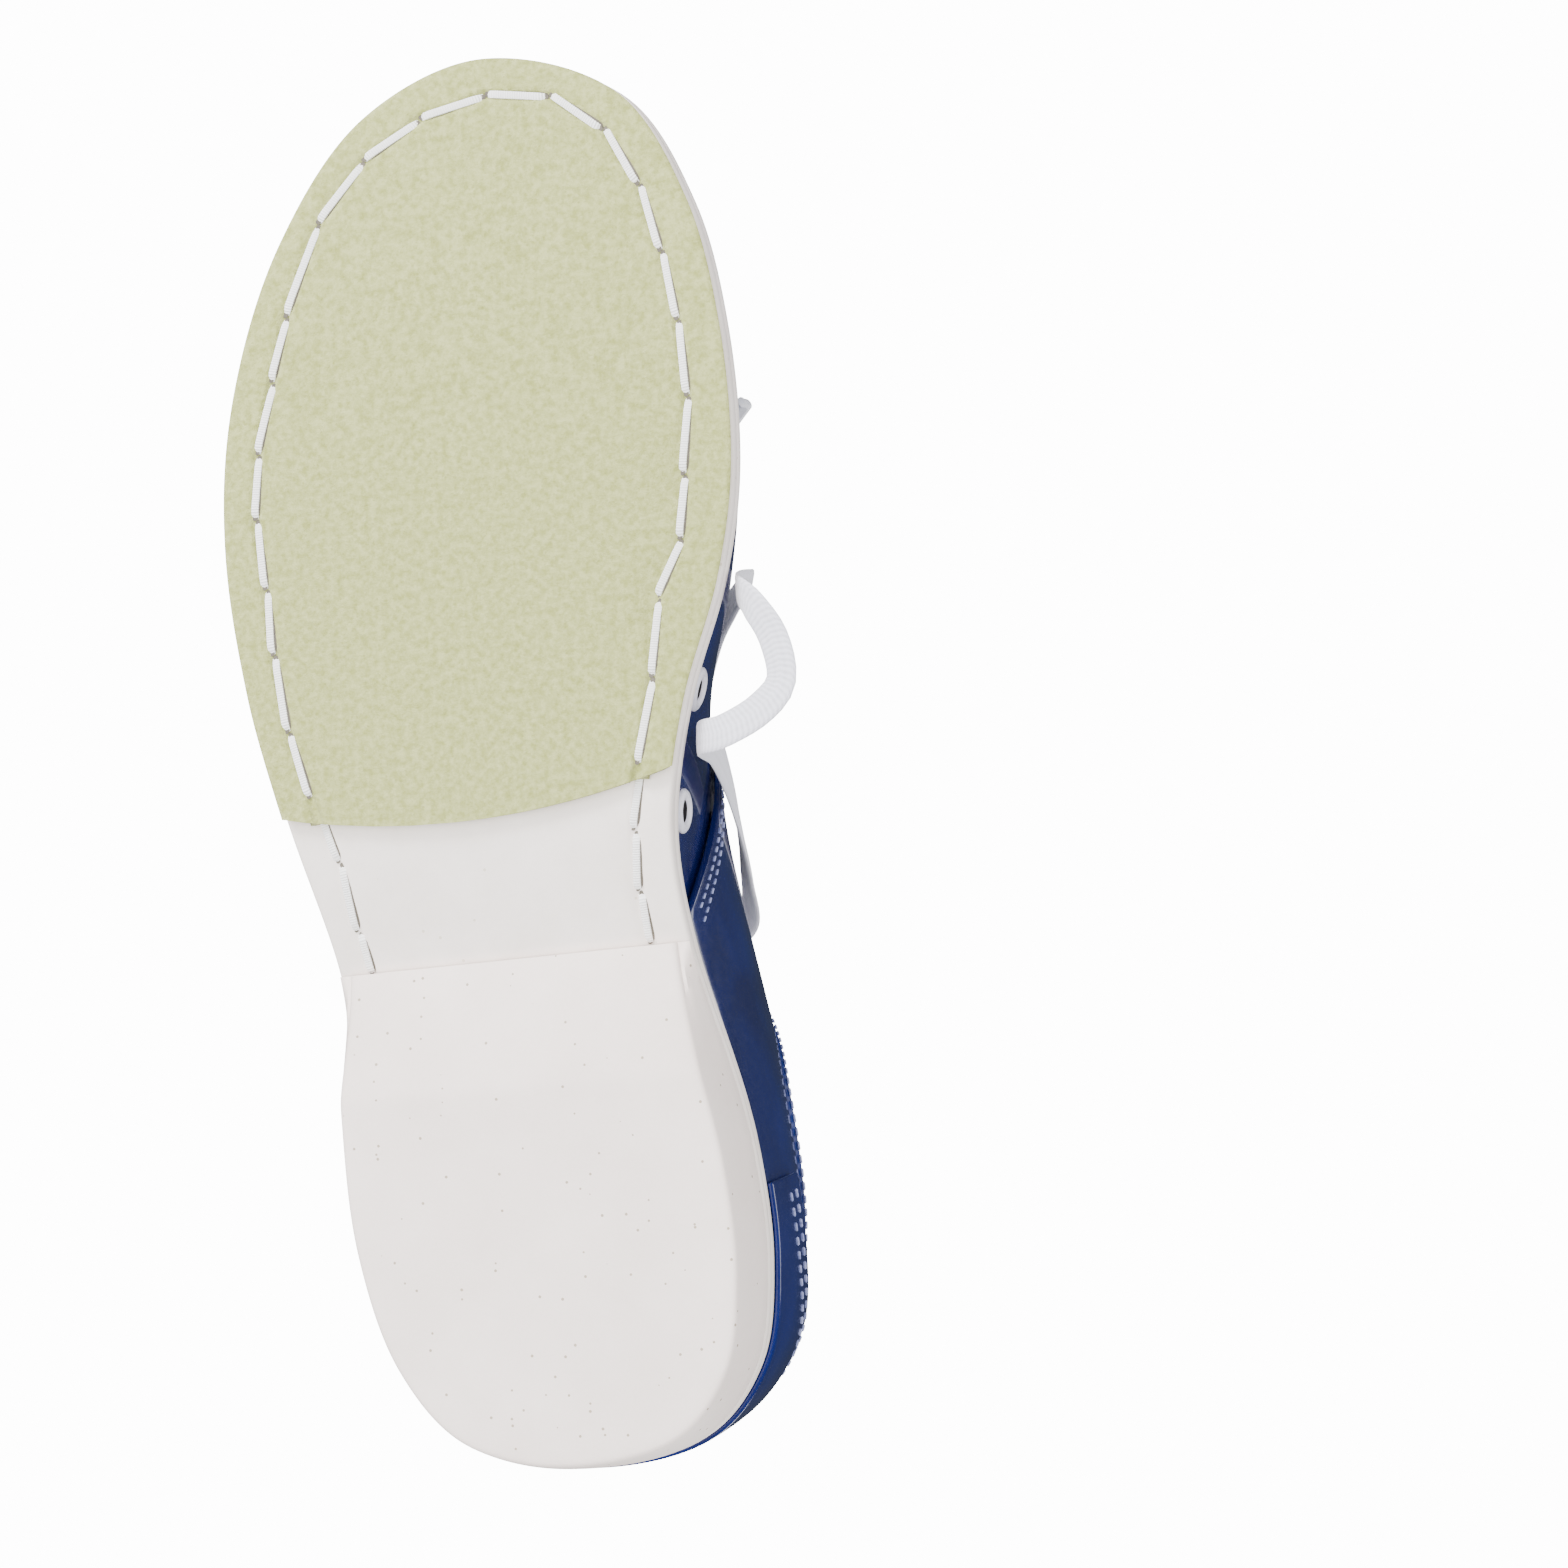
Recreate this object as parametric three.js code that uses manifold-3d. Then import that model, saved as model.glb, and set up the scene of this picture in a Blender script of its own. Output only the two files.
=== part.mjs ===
// A lace-up bowling shoe for the right foot: slide sole, heel wedge, patent upper, lining, tongue and lace.
// Millimetres, +Z up. The toe points to -Y, the lateral side is -X and the medial side is +X.
// Stations are measured forward from the back of the heel, so y = heelY - station.
import * as THREE from 'three';
import { mergeVertices } from 'three/addons/utils/BufferGeometryUtils.js';
import Module from 'manifold-3d';

const wasm = await Module();
wasm.setup();

// Driving dimensions
const gap = 0.3;                 // clearance between neighbouring pieces
const lap = 0.6;                 // clearance between curved layers that overlap
const sole = {
  length: 292, ballLateral: 63.2, ballMedial: 45.6, waistLateral: 46.6, waistMedial: 28.5,
  heelLateral: 47.3, heelMedial: 40.6, padThickness: 2.2, forepartThickness: 6.5, seatThickness: 5,
  heelRise: 14.5, toeSpring: 7, springStart: 200, jointStation: 135.2, breastStation: 107,
  rampStation: 80, seatStation: 72, riseStation: 140, heelTaper: 2.5, breastEdge: 0.8,
};
const thread = { inset: 8, width: 1.4, height: 0.8, grooveDepth: 1.2, end: 4 };
const upper = {
  featherInset: 2.5, toeBoxTop: 48, instepRise: 75, toeReach: 34, heelReach: 36, fullness: 2.35,
  archBulge: 4.5, heelBulge: 0.9, collarPull: 5, quarterThickness: 1.4, vampThickness: 1.3,
  stiffenerThickness: 1.5, liningThickness: 1.3, overlayThickness: 1.2, puffThickness: 0.8,
};
const collar = { heelTop: 80, ankleTop: 66, ankleStation: 66, frontStation: 102, padding: 5, depth: 22, clearance: 1 };
const throat = { frontStation: 178, frontGap: 7, topGap: 13, seamFoot: 114, vampCentre: 176, seam: 0.0025 };
const bottom = { fillerInset: 15, fillerThickness: 1.7, boardInset: 9, boardThickness: 1.8,
  linerThickness: 3, shankLength: 112, shankWidth: 14, shankThickness: 1.2, shankStart: 36 };
const eyelet = { pairs: 5, first: 160, pitch: 14.6, edge: 8.5, bore: 2.3, wall: 0.5, flange: 4.3, rim: 0.8 };
const vent = { bore: 2.5, wall: 0.5, flange: 4.75, rim: 0.8, height: 12, stations: [159.5, 135] };
const tongue = { root: 194, top: 84, side: 0.66, thickness: 5, skin: 1.1, drop: 8.2, rootDrop: 6.6 };
const lace = { width: 7, heldWidth: 5.2, thickness: 1.2, boreWidth: 2.6, boreThickness: 1.8, cross: 1.1, step: 7 };
const knot = { x: 3, y: 44, z: 114.5, radii: [8, 6.5, 4.5] };
const aglet = { radius: 1.9, length: 13 };

const heelY = sole.length / 2;
const colour = {
  patent: [0x13378a, 0.08], pad: [0xd2d4b0, 0.95], rubber: [0xe4e0dd, 0.6], heel: [0xebe8e4, 0.55],
  thread: [0xf4f4f2, 0.7], lining: [0xc9ccd6, 0.9], board: [0xa98b64, 0.9], foam: [0xe8e0c8, 0.95],
  steel: [0x8a8c90, 0.35], cork: [0xb08a5c, 0.95], eyelet: [0xf1f1f4, 0.35], lace: [0xf3f3f6, 0.85],
  aglet: [0xf6f6f8, 0.2],
};

const mix = (a, b, s) => a + (b - a) * s;
const clamp01 = (s) => Math.min(1, Math.max(0, s));
const smooth = (s) => clamp01(s) ** 2 * (3 - 2 * clamp01(s));
const bell = (s) => Math.exp(-s * s);

const model = new THREE.Group();

function addPiece(name, geometry, finish) {
  const [hex, roughness] = colour[finish];
  const metalness = finish === 'steel' ? 1 : 0;
  const material = new THREE.MeshStandardMaterial({ color: hex, roughness, metalness });
  const mesh = new THREE.Mesh(geometry, material);
  mesh.name = name;
  model.add(mesh);
}

// Outline of the sole: half outlines from the heel (t = 0) to the toe (t = 1), by arc length
function halfOutline(points) {
  const first = new THREE.Vector3(points[1][0], 2 * points[0][1] - points[1][1], 0);
  const last = new THREE.Vector3(points.at(-2)[0], 2 * points.at(-1)[1] - points.at(-2)[1], 0);
  const inner = points.map(([station, x]) => new THREE.Vector3(station, x, 0));
  const curve = new THREE.CatmullRomCurve3([first, ...inner, last], false, 'centripetal');
  const spans = inner.length + 1;
  const samples = 400;
  const list = [];
  for (let i = 0; i <= samples; i += 1) {
    list.push(curve.getPoint((1 + (i / samples) * (spans - 2)) / spans));
  }
  const lengths = [0];
  for (let i = 1; i <= samples; i += 1) lengths.push(lengths[i - 1] + list[i].distanceTo(list[i - 1]));
  return { list, lengths };
}

function pointAt(half, t) {
  const target = clamp01(t) * half.lengths.at(-1);
  let low = 0;
  let high = half.lengths.length - 1;
  while (high - low > 1) {
    const middle = (low + high) >> 1;
    if (half.lengths[middle] > target) high = middle;
    else low = middle;
  }
  const s = (target - half.lengths[low]) / (half.lengths[high] - half.lengths[low]);
  return half.list[low].clone().lerp(half.list[high], s);
}

const heelX = -1;
const toeX = -4;
const lateralHalf = halfOutline([
  [0, heelX], [0.02 * sole.length, -0.5 * sole.heelLateral], [0.075 * sole.length, -0.79 * sole.heelLateral],
  [0.16 * sole.length, -0.955 * sole.heelLateral], [0.26 * sole.length, -sole.heelLateral],
  [0.36 * sole.length, -sole.waistLateral], [0.56 * sole.length, -0.95 * sole.ballLateral],
  [0.67 * sole.length, -sole.ballLateral], [0.77 * sole.length, -0.95 * sole.ballLateral],
  [0.88 * sole.length, -0.77 * sole.ballLateral], [0.965 * sole.length, -0.475 * sole.ballLateral],
  [sole.length, toeX],
]);
const medialHalf = halfOutline([
  [0, heelX], [0.02 * sole.length, 0.62 * sole.heelMedial], [0.07 * sole.length, 0.915 * sole.heelMedial],
  [0.14 * sole.length, sole.heelMedial], [0.22 * sole.length, 0.96 * sole.heelMedial],
  [0.37 * sole.length, 1.045 * sole.waistMedial], [0.455 * sole.length, sole.waistMedial],
  [0.54 * sole.length, 1.16 * sole.waistMedial], [0.623 * sole.length, 0.91 * sole.ballMedial],
  [0.7 * sole.length, sole.ballMedial],
  [0.8 * sole.length, 0.975 * sole.ballMedial], [0.89 * sole.length, 0.84 * sole.ballMedial],
  [0.968 * sole.length, 0.53 * sole.ballMedial], [sole.length, toeX],
]);

const centreX = -(Math.min(...lateralHalf.list.map((p) => p.y)) + Math.max(...medialHalf.list.map((p) => p.y))) / 2;

// Around the shoe, q runs from the lateral toe (-1) by the heel (0) to the medial toe (1), and repeats
function wrap(q) {
  if (q > 1) return q - 2;
  if (q < -1) return q + 2;
  return q;
}

function outline(q, inset = 0) {
  const at = (value) => {
    const w = wrap(value);
    return pointAt(w < 0 ? lateralHalf : medialHalf, Math.abs(w));
  };
  const here = at(q);
  if (inset === 0) return { a: here.x, x: here.y };
  const step = 0.004;
  const tangent = at(q + step).sub(at(q - step)).normalize();
  return { a: here.x + tangent.y * inset, x: here.y - tangent.x * inset };
}

function meanStation(t) {
  return (outline(t).a + outline(-t).a) / 2;
}

function bisect(rising, target, low, high) {
  let [a, b] = [low, high];
  for (let i = 0; i < 40; i += 1) {
    const middle = (a + b) / 2;
    if (rising(middle) > target) b = middle;
    else a = middle;
  }
  return (a + b) / 2;
}

const tAtStation = (station) => bisect(meanStation, station, 0, 1);

// Heights of the sole along its length
const springAt = (a) => sole.toeSpring * Math.max(0, (a - sole.springStart) / (sole.length - sole.springStart)) ** 2;
const riseAt = (a) => sole.heelRise * smooth((sole.riseStation - a) / (sole.riseStation - sole.seatStation));
const outsoleBottom = (a) => sole.padThickness + gap + springAt(a) + riseAt(a);
const outsoleTop = (a) => outsoleBottom(a) + mix(sole.seatThickness, sole.forepartThickness, smooth((a - 80) / 70));
const jointAt = (x) => sole.jointStation + 9.4 * ((x + 25) / 55) ** 2;
const breastAt = (x) => sole.breastStation + 0.057 * x;
const rampAt = (x) => sole.rampStation + 0.043 * x;

const place = (a, x, z) => new THREE.Vector3(x + centreX, heelY - a, z);

// A closed solid between an outer and an inner grid of points; "welded" leaves the last row open to weld
function gridSolid(outer, inner, { weldedTop = false } = {}) {
  const rows = outer.length;
  const columns = outer[0].length;
  const vertices = [];
  for (const grid of [outer, inner]) {
    for (const row of grid) for (const point of row) vertices.push(point.x, point.y, point.z);
  }
  const index = [];
  const half = rows * columns;
  const quad = (a, b, c, d) => index.push(a, b, c, a, c, d);
  for (let i = 0; i < rows - 1; i += 1) {
    for (let j = 0; j < columns - 1; j += 1) {
      const a = i * columns + j;
      quad(a, a + columns, a + columns + 1, a + 1);
      quad(half + a, half + a + 1, half + a + columns + 1, half + a + columns);
    }
  }
  for (let i = 0; i < rows - 1; i += 1) {
    const left = i * columns;
    quad(left, half + left, half + left + columns, left + columns);
    const right = left + columns - 1;
    if (!weldedTop) quad(right, right + columns, half + right + columns, half + right);
  }
  for (let j = 0; j < columns - 1; j += 1) {
    quad(j, j + 1, half + j + 1, half + j);
    const end = (rows - 1) * columns + j;
    quad(end, half + end, half + end + 1, end + 1);
  }
  return weld(vertices, index);
}

// Merge equal points, drop collapsed triangles and turn the faces outward
function weld(vertices, index) {
  const raw = new THREE.BufferGeometry();
  raw.setAttribute('position', new THREE.Float32BufferAttribute(vertices, 3));
  raw.setIndex(index);
  const merged = mergeVertices(raw, 1e-3);
  const list = merged.getIndex().array;
  const kept = [];
  for (let i = 0; i < list.length; i += 3) {
    const [a, b, c] = [list[i], list[i + 1], list[i + 2]];
    if (a !== b && b !== c && a !== c) kept.push(a, b, c);
  }
  merged.setIndex(volumeOf(merged, kept) < 0 ? flipped(kept) : kept);
  return merged;
}

function volumeOf(geometry, index) {
  const position = geometry.getAttribute('position');
  const [a, b, c] = [new THREE.Vector3(), new THREE.Vector3(), new THREE.Vector3()];
  let total = 0;
  for (let i = 0; i < index.length; i += 3) {
    a.fromBufferAttribute(position, index[i]);
    b.fromBufferAttribute(position, index[i + 1]);
    c.fromBufferAttribute(position, index[i + 2]);
    total += a.dot(b.cross(c));
  }
  return total / 6;
}

function flipped(index) {
  const result = [];
  for (let i = 0; i < index.length; i += 3) result.push(index[i], index[i + 2], index[i + 1]);
  return result;
}

// Booleans
function toManifold(geometry) {
  const bare = geometry.clone();
  bare.deleteAttribute('normal');
  bare.deleteAttribute('uv');
  const merged = mergeVertices(bare, 1e-4);
  const vertProperties = new Float32Array(merged.getAttribute('position').array);
  const triVerts = new Uint32Array(merged.getIndex().array);
  return new wasm.Manifold(new wasm.Mesh({ numProp: 3, vertProperties, triVerts }));
}

function fromManifold(solid) {
  const mesh = solid.getMesh();
  const geometry = new THREE.BufferGeometry();
  geometry.setAttribute('position', new THREE.BufferAttribute(new Float32Array(mesh.vertProperties), 3));
  geometry.setIndex(Array.from(mesh.triVerts));
  return geometry;
}

function cut(geometry, tools) {
  let solid = toManifold(geometry);
  for (const tool of tools) solid = solid.subtract(toManifold(tool));
  return fromManifold(solid);
}

// Steps from 0 to 1 along a sole layer: even in the middle, close together at a round end
function soleSteps(span, roundRear, roundFront) {
  const reach = 20;
  const turns = Array.from({ length: 7 }, (_, i) => (reach * (i / 7) ** 2) / span);
  const from = roundRear ? reach / span : 0;
  const to = roundFront ? 1 - reach / span : 1;
  const count = Math.ceil(((to - from) * span) / 8);
  const middle = Array.from({ length: count + 1 }, (_, i) => mix(from, to, i / count));
  const rear = roundRear ? turns : [];
  const front = roundFront ? turns.map((s) => 1 - s).reverse() : [];
  return [...rear, ...middle, ...front];
}

// A sole layer from a rear line to a front line across the sole, between two height functions
function soleLayer({ rear, front, inset = 0, bottomInset = inset, low, high, across = 2 }) {
  const rearAt = rear ?? (() => inset + 0.1);
  const frontAt = front ?? (() => sole.length - inset - 0.1);
  const steps = soleSteps(frontAt(0) - rearAt(0), !rear, !front);
  const grid = (height, sideInset) => steps.map((s) => (
    Array.from({ length: across + 1 }, (_, j) => {
      const station = (x) => mix(rearAt(x), frontAt(x), s);
      const across0 = (a) => mix(sideX(-1, a, sideInset), sideX(1, a, sideInset), j / across);
      const a = Math.max(sideInset + 0.1, station(across0(station(0))));
      const x = across0(a);
      return place(a, x, height(a, x));
    })));
  return gridSolid(grid(high, inset), grid(low, bottomInset));
}

// The x of the inset outline on one side at a station
function sideX(side, station, inset = 0) {
  const at = (t) => outline(side * t, inset);
  const t = bisect((value) => at(value).a, station, 0.0005, 0.9995);
  return at(t).x;
}

// A flat ribbon swept along points, each with its own width direction, width and thickness
function ribbonSolid(points, sides, widths, thicknesses) {
  const grids = [[], []];
  points.forEach((point, i) => {
    const before = points[Math.max(0, i - 1)];
    const after = points[Math.min(points.length - 1, i + 1)];
    const along = after.clone().sub(before).normalize();
    const side = sides[i].clone().addScaledVector(along, -sides[i].dot(along)).normalize();
    const up = side.clone().cross(along);
    [1, -1].forEach((sign, k) => {
      const centre = point.clone().addScaledVector(up, (sign * thicknesses[i]) / 2);
      grids[k].push([-1, 1].map((edge) => centre.clone().addScaledVector(side, (edge * widths[i]) / 2)));
    });
  });
  return gridSolid(grids[0], grids[1]);
}

// Seam thread along the inset outline of the sole, from q0 to q1, below a height function
function threadRun(q0, q1, steps, width, low, high) {
  const grids = [high, low].map((height) => Array.from({ length: steps + 1 }, (_, i) => {
    const q = mix(q0, q1, i / steps);
    return [-1, 1].map((edge) => {
      const { a, x } = outline(q, thread.inset + (edge * width) / 2);
      return place(a, x, height(a));
    });
  }));
  return gridSolid(grids[0], grids[1]);
}

const tAtSide = (side, station) => bisect((t) => outline(side * t, thread.inset).a, station, 0.001, 0.999);

function buildSole() {
  const joint = { lateral: tAtSide(-1, jointAt(-48)), medial: tAtSide(1, jointAt(22)) };
  const breast = { lateral: tAtSide(-1, breastAt(-39)), medial: tAtSide(1, breastAt(21)) };
  const margin = thread.end / 400;
  const grooveTop = (base) => (a) => base(a) + thread.grooveDepth;
  const padBottom = (a) => springAt(a);
  const runs = [
    ['sole_stitching_forepart', joint.medial + margin, 2 - joint.lateral - margin, 34, padBottom, 0],
    ['sole_stitching_waist_lateral', -joint.lateral + margin, -breast.lateral - margin, 6, outsoleBottom, 0.012],
    ['sole_stitching_waist_medial', breast.medial + margin, joint.medial - margin, 6, outsoleBottom, 0.012],
  ];
  const grooveWidth = thread.width + 2 * gap;
  const grooves = runs.map(([, q0, q1, steps, base, reach]) => threadRun(q0 - reach - 0.004, q1 + reach + 0.004,
    steps, grooveWidth, (a) => base(a) - 1, grooveTop(base)));
  runs.forEach(([name, q0, q1, steps, base]) => {
    const low = (a) => base(a) + 0.1;
    addPiece(name, threadRun(q0, q1, steps, thread.width, low, (a) => low(a) + thread.height), 'thread');
  });
  const pad = soleLayer({ rear: jointAt, across: 4, low: padBottom, high: (a) => springAt(a) + sole.padThickness });
  addPiece('slide_pad', cut(pad, [grooves[0]]), 'pad');
  const outsole = soleLayer({ low: outsoleBottom, high: outsoleTop });
  addPiece('outsole', cut(outsole, grooves.slice(1)), 'rubber');
  const wedgeBottom = (a, x) => {
    const ramp = (a - rampAt(x)) / (breastAt(x) - rampAt(x));
    return Math.max(0, ramp) * (outsoleBottom(breastAt(x)) - gap - sole.breastEdge);
  };
  addPiece('heel_wedge', soleLayer({ front: breastAt, low: wedgeBottom, bottomInset: sole.heelTaper,
    high: (a) => outsoleBottom(a) - gap }), 'heel');
}

// Pieces of the bottom inside the upper
function buildBottom() {
  const base = (a) => outsoleTop(a) + gap;
  const fillerTop = (a) => base(a) + bottom.fillerThickness;
  const filler = soleLayer({ inset: bottom.fillerInset, low: base, high: fillerTop });
  const shankStrip = (extra, low, high, from, to) => {
    const grids = [high, low].map((height) => Array.from({ length: 15 }, (_, i) => {
      const a = mix(from, to, i / 14);
      return [-1, 1].map((edge) => place(a, -8 + edge * (bottom.shankWidth / 2 + extra), height(a)));
    }));
    return gridSolid(grids[0], grids[1]);
  };
  const [from, to] = [bottom.shankStart, bottom.shankStart + bottom.shankLength];
  const slot = shankStrip(gap, (a) => base(a) - 1, (a) => fillerTop(a) + 1, from - gap, to + gap);
  addPiece('bottom_filler', cut(filler, [slot]), 'cork');
  addPiece('shank', shankStrip(0, (a) => base(a) + 0.1, (a) => base(a) + 0.1 + bottom.shankThickness, from, to), 'steel');
  const boardLow = (a) => fillerTop(a) + gap;
  const boardHigh = (a) => boardLow(a) + bottom.boardThickness;
  addPiece('insole_board', soleLayer({ inset: bottom.boardInset, low: boardLow, high: boardHigh }), 'board');
  addPiece('sock_liner', soleLayer({ inset: bottom.boardInset,
    low: (a) => boardHigh(a) + gap, high: (a) => boardHigh(a) + gap + bottom.linerThickness }), 'lining');
}

// The upper's surface: ribs rise from the feather line (v = 0) at q to the ridge of the instep (v = 1)
function ridge(t) {
  const toe = sole.length - upper.toeReach;
  const a = Math.min(toe, Math.max(upper.heelReach, meanStation(t)));
  const x = -5 - 3 * bell((a - 150) / 50) + 2 * smooth((90 - a) / 50);
  const z = upper.toeBoxTop + upper.instepRise * smooth((toe - a) / (toe - upper.heelReach - 4));
  return { a, x, z };
}

function surface(q, v) {
  const foot = outline(q, upper.featherInset);
  const top = ridge(Math.abs(wrap(q)));
  const angle = clamp01(v) * (Math.PI / 2);
  const inward = 1 - Math.cos(angle) ** (2 / upper.fullness);
  const climb = Math.sin(angle) ** (2 / upper.fullness);
  const low = outsoleTop(foot.a) + gap;
  const swell = Math.sin(2 * angle);
  const high = climb * (top.z - low);
  const medial = wrap(q) > 0 ? 1 : 0.35;
  const out = swell * (upper.archBulge * medial * bell((foot.a - 112) / 42) * smooth(foot.a / 60)
    + upper.heelBulge * bell(foot.a / 60))
    - upper.collarPull * bell(foot.a / 75) * smooth((high - 25) / 45);
  const edge = outline(q, upper.featherInset - out);
  return place(mix(edge.a, top.a, inward), mix(edge.x, top.x, inward), low + high);
}

function normalAt(q, v) {
  if (v > 0.995) {
    const t = Math.abs(wrap(q));
    const ahead = ridge(Math.min(1, t + 0.01));
    const behind = ridge(Math.max(0, t - 0.01));
    const along = place(ahead.a, 0, ahead.z).sub(place(behind.a, 0, behind.z));
    if (along.length() < 1e-6) return new THREE.Vector3(0, 0, 1);
    return new THREE.Vector3(-1, 0, 0).cross(along).normalize();
  }
  const step = 0.003;
  const low = Math.max(0, v - step);
  const along = surface(q + step, v).sub(surface(q - step, v));
  const up = surface(q, Math.min(1, v + step)).sub(surface(q, low));
  return up.cross(along).normalize();
}

// A point of the upper at a depth, kept clear of the sole under it
function skin(q, v, d) {
  const point = surface(q, v).addScaledVector(normalAt(q, v), d);
  point.z = Math.max(point.z, outsoleTop(heelY - point.y) + 1.4 * gap);
  return point;
}

// Depths of the layers, measured outward from the upper's surface
const depth = {
  quarter: [gap, gap + upper.quarterThickness],
  overlay: [0, upper.overlayThickness].map((d) => gap + upper.quarterThickness + lap + d),
  vamp: [-lap - upper.vampThickness, -lap],
  stiffener: [-gap - upper.stiffenerThickness, -gap],
};
depth.puff = [depth.vamp[0] - lap - upper.puffThickness, depth.vamp[0] - lap];
depth.vampLining = [depth.puff[0] - lap - upper.liningThickness, depth.puff[0] - lap];
depth.quarterLining = [depth.stiffener[0] - lap - upper.liningThickness, depth.stiffener[0] - lap];
depth.collar = [-collar.clearance - collar.padding, -collar.clearance].map((d) => depth.quarterLining[0] + d);

// The open top edge: the throat gap in front, and the topline around the ankle
function toplineHeight(a) {
  const heel = mix(collar.heelTop, collar.ankleTop, smooth(a / collar.ankleStation));
  const rise = ridge(tAtStation(collar.frontStation)).z - collar.ankleTop;
  return heel + rise * smooth((a - collar.ankleStation) / (collar.frontStation - collar.ankleStation)) ** 1.5;
}

function throatGap(a) {
  const s = (throat.frontStation - a) / (throat.frontStation - collar.frontStation);
  return mix(throat.frontGap, throat.topGap, clamp01(s));
}

const topCache = new Map();

function vTop(q) {
  const key = q.toFixed(5);
  if (!topCache.has(key)) {
    const t = Math.abs(wrap(q));
    const a = meanStation(t);
    const byHeight = bisect((v) => surface(q, v).z, toplineHeight(a), 0, 1);
    const centre = ridge(t).x + centreX;
    const byGap = bisect((v) => -Math.abs(surface(q, v).x - centre), -throatGap(a), 0, 1);
    topCache.set(key, Math.min(byHeight, a > collar.ankleStation ? byGap : 1));
  }
  return topCache.get(key);
}

// Where the vamp ends under the quarters, and where the quarters begin
const rearOfVamp = (v) => tAtStation(mix(throat.seamFoot - 8, throat.vampCentre, v ** 0.7));
const frontOfQuarter = (r) => tAtStation(mix(throat.seamFoot, throat.frontStation, r ** 0.9));
const quarterColumns = 26;
const topEdgeQ = (i) => mix(throat.seam, frontOfQuarter(1), i / quarterColumns);

// A patch of the upper between two depths; its map gives q and v for s and r from 0 to 1
function patch(name, finish, { columns, rows, map, depths, holes = [], weldedTop = false }) {
  const grids = [1, 0].map((k) => Array.from({ length: columns + 1 }, (_, i) => (
    Array.from({ length: rows + 1 }, (_, j) => {
      const [q, v] = map(i / columns, j / rows);
      return skin(q, v, depths[k]);
    }))));
  const solid = gridSolid(grids[0], grids[1], { weldedTop });
  addPiece(name, holes.length ? cut(solid, holes) : solid, finish);
}

// Arc distance up a rib turned into a change of v
function vBelow(q, v, distance) {
  const rate = surface(q, v).distanceTo(surface(q, v - 0.02)) / 0.02;
  return v - distance / rate;
}

// Frames of the eyelets on the upper, with z along the outward normal
function frameAt(q, v, d) {
  const normal = normalAt(q, v);
  const turn = new THREE.Quaternion().setFromUnitVectors(new THREE.Vector3(0, 0, 1), normal);
  return new THREE.Matrix4().compose(skin(q, v, d), turn, new THREE.Vector3(1, 1, 1));
}

function ringGeometry({ bore, wall, flange, rim }, outer, inner) {
  const profile = [[bore, inner], [bore + wall, inner], [bore + wall, outer], [flange, outer],
    [bore + 1.2, outer + rim], [bore, outer + rim * 0.4], [bore, inner]];
  const lathe = new THREE.LatheGeometry(profile.map(([x, y]) => new THREE.Vector2(x, y)), 9);
  lathe.rotateX(Math.PI / 2);
  lathe.deleteAttribute('normal');
  lathe.deleteAttribute('uv');
  const merged = mergeVertices(lathe, 1e-4);
  return weld(Array.from(merged.getAttribute('position').array), Array.from(merged.getIndex().array));
}

function holeTool({ bore, wall }, frame) {
  const tool = new THREE.CylinderGeometry(bore + wall + gap, bore + wall + gap, 24, 8);
  tool.rotateX(Math.PI / 2);
  tool.applyMatrix4(frame);
  return tool;
}

const laceHoles = { '-1': [], 1: [] };
for (let i = 0; i < eyelet.pairs; i += 1) {
  for (const side of [-1, 1]) {
    const q = side * tAtStation(eyelet.first - i * eyelet.pitch);
    laceHoles[side].push([q, vBelow(q, vTop(q), eyelet.edge)]);
  }
}
const ventHoles = vent.stations.map((station) => {
  const q = bisect((t) => outline(t).a, station, 0, 1);
  return [q, bisect((v) => surface(q, v).z, outsoleTop(station) + vent.height, 0, 1)];
});

function buildEyelets() {
  for (const [side, label] of [[-1, 'lateral'], [1, 'medial']]) {
    laceHoles[side].forEach(([q, v], i) => {
      const ring = ringGeometry(eyelet, depth.overlay[1] + gap, depth.quarterLining[0] - gap);
      addPiece(`eyelet_${label}_${i + 1}`, ring.applyMatrix4(frameAt(q, v, 0)), 'eyelet');
    });
  }
  ventHoles.forEach(([q, v], i) => {
    const ring = ringGeometry(vent, depth.vamp[1] + lap + gap, depth.vampLining[0] - gap);
    addPiece(`vent_eyelet_${i + 1}`, ring.applyMatrix4(frameAt(q, v, 0)), 'eyelet');
  });
}

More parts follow.
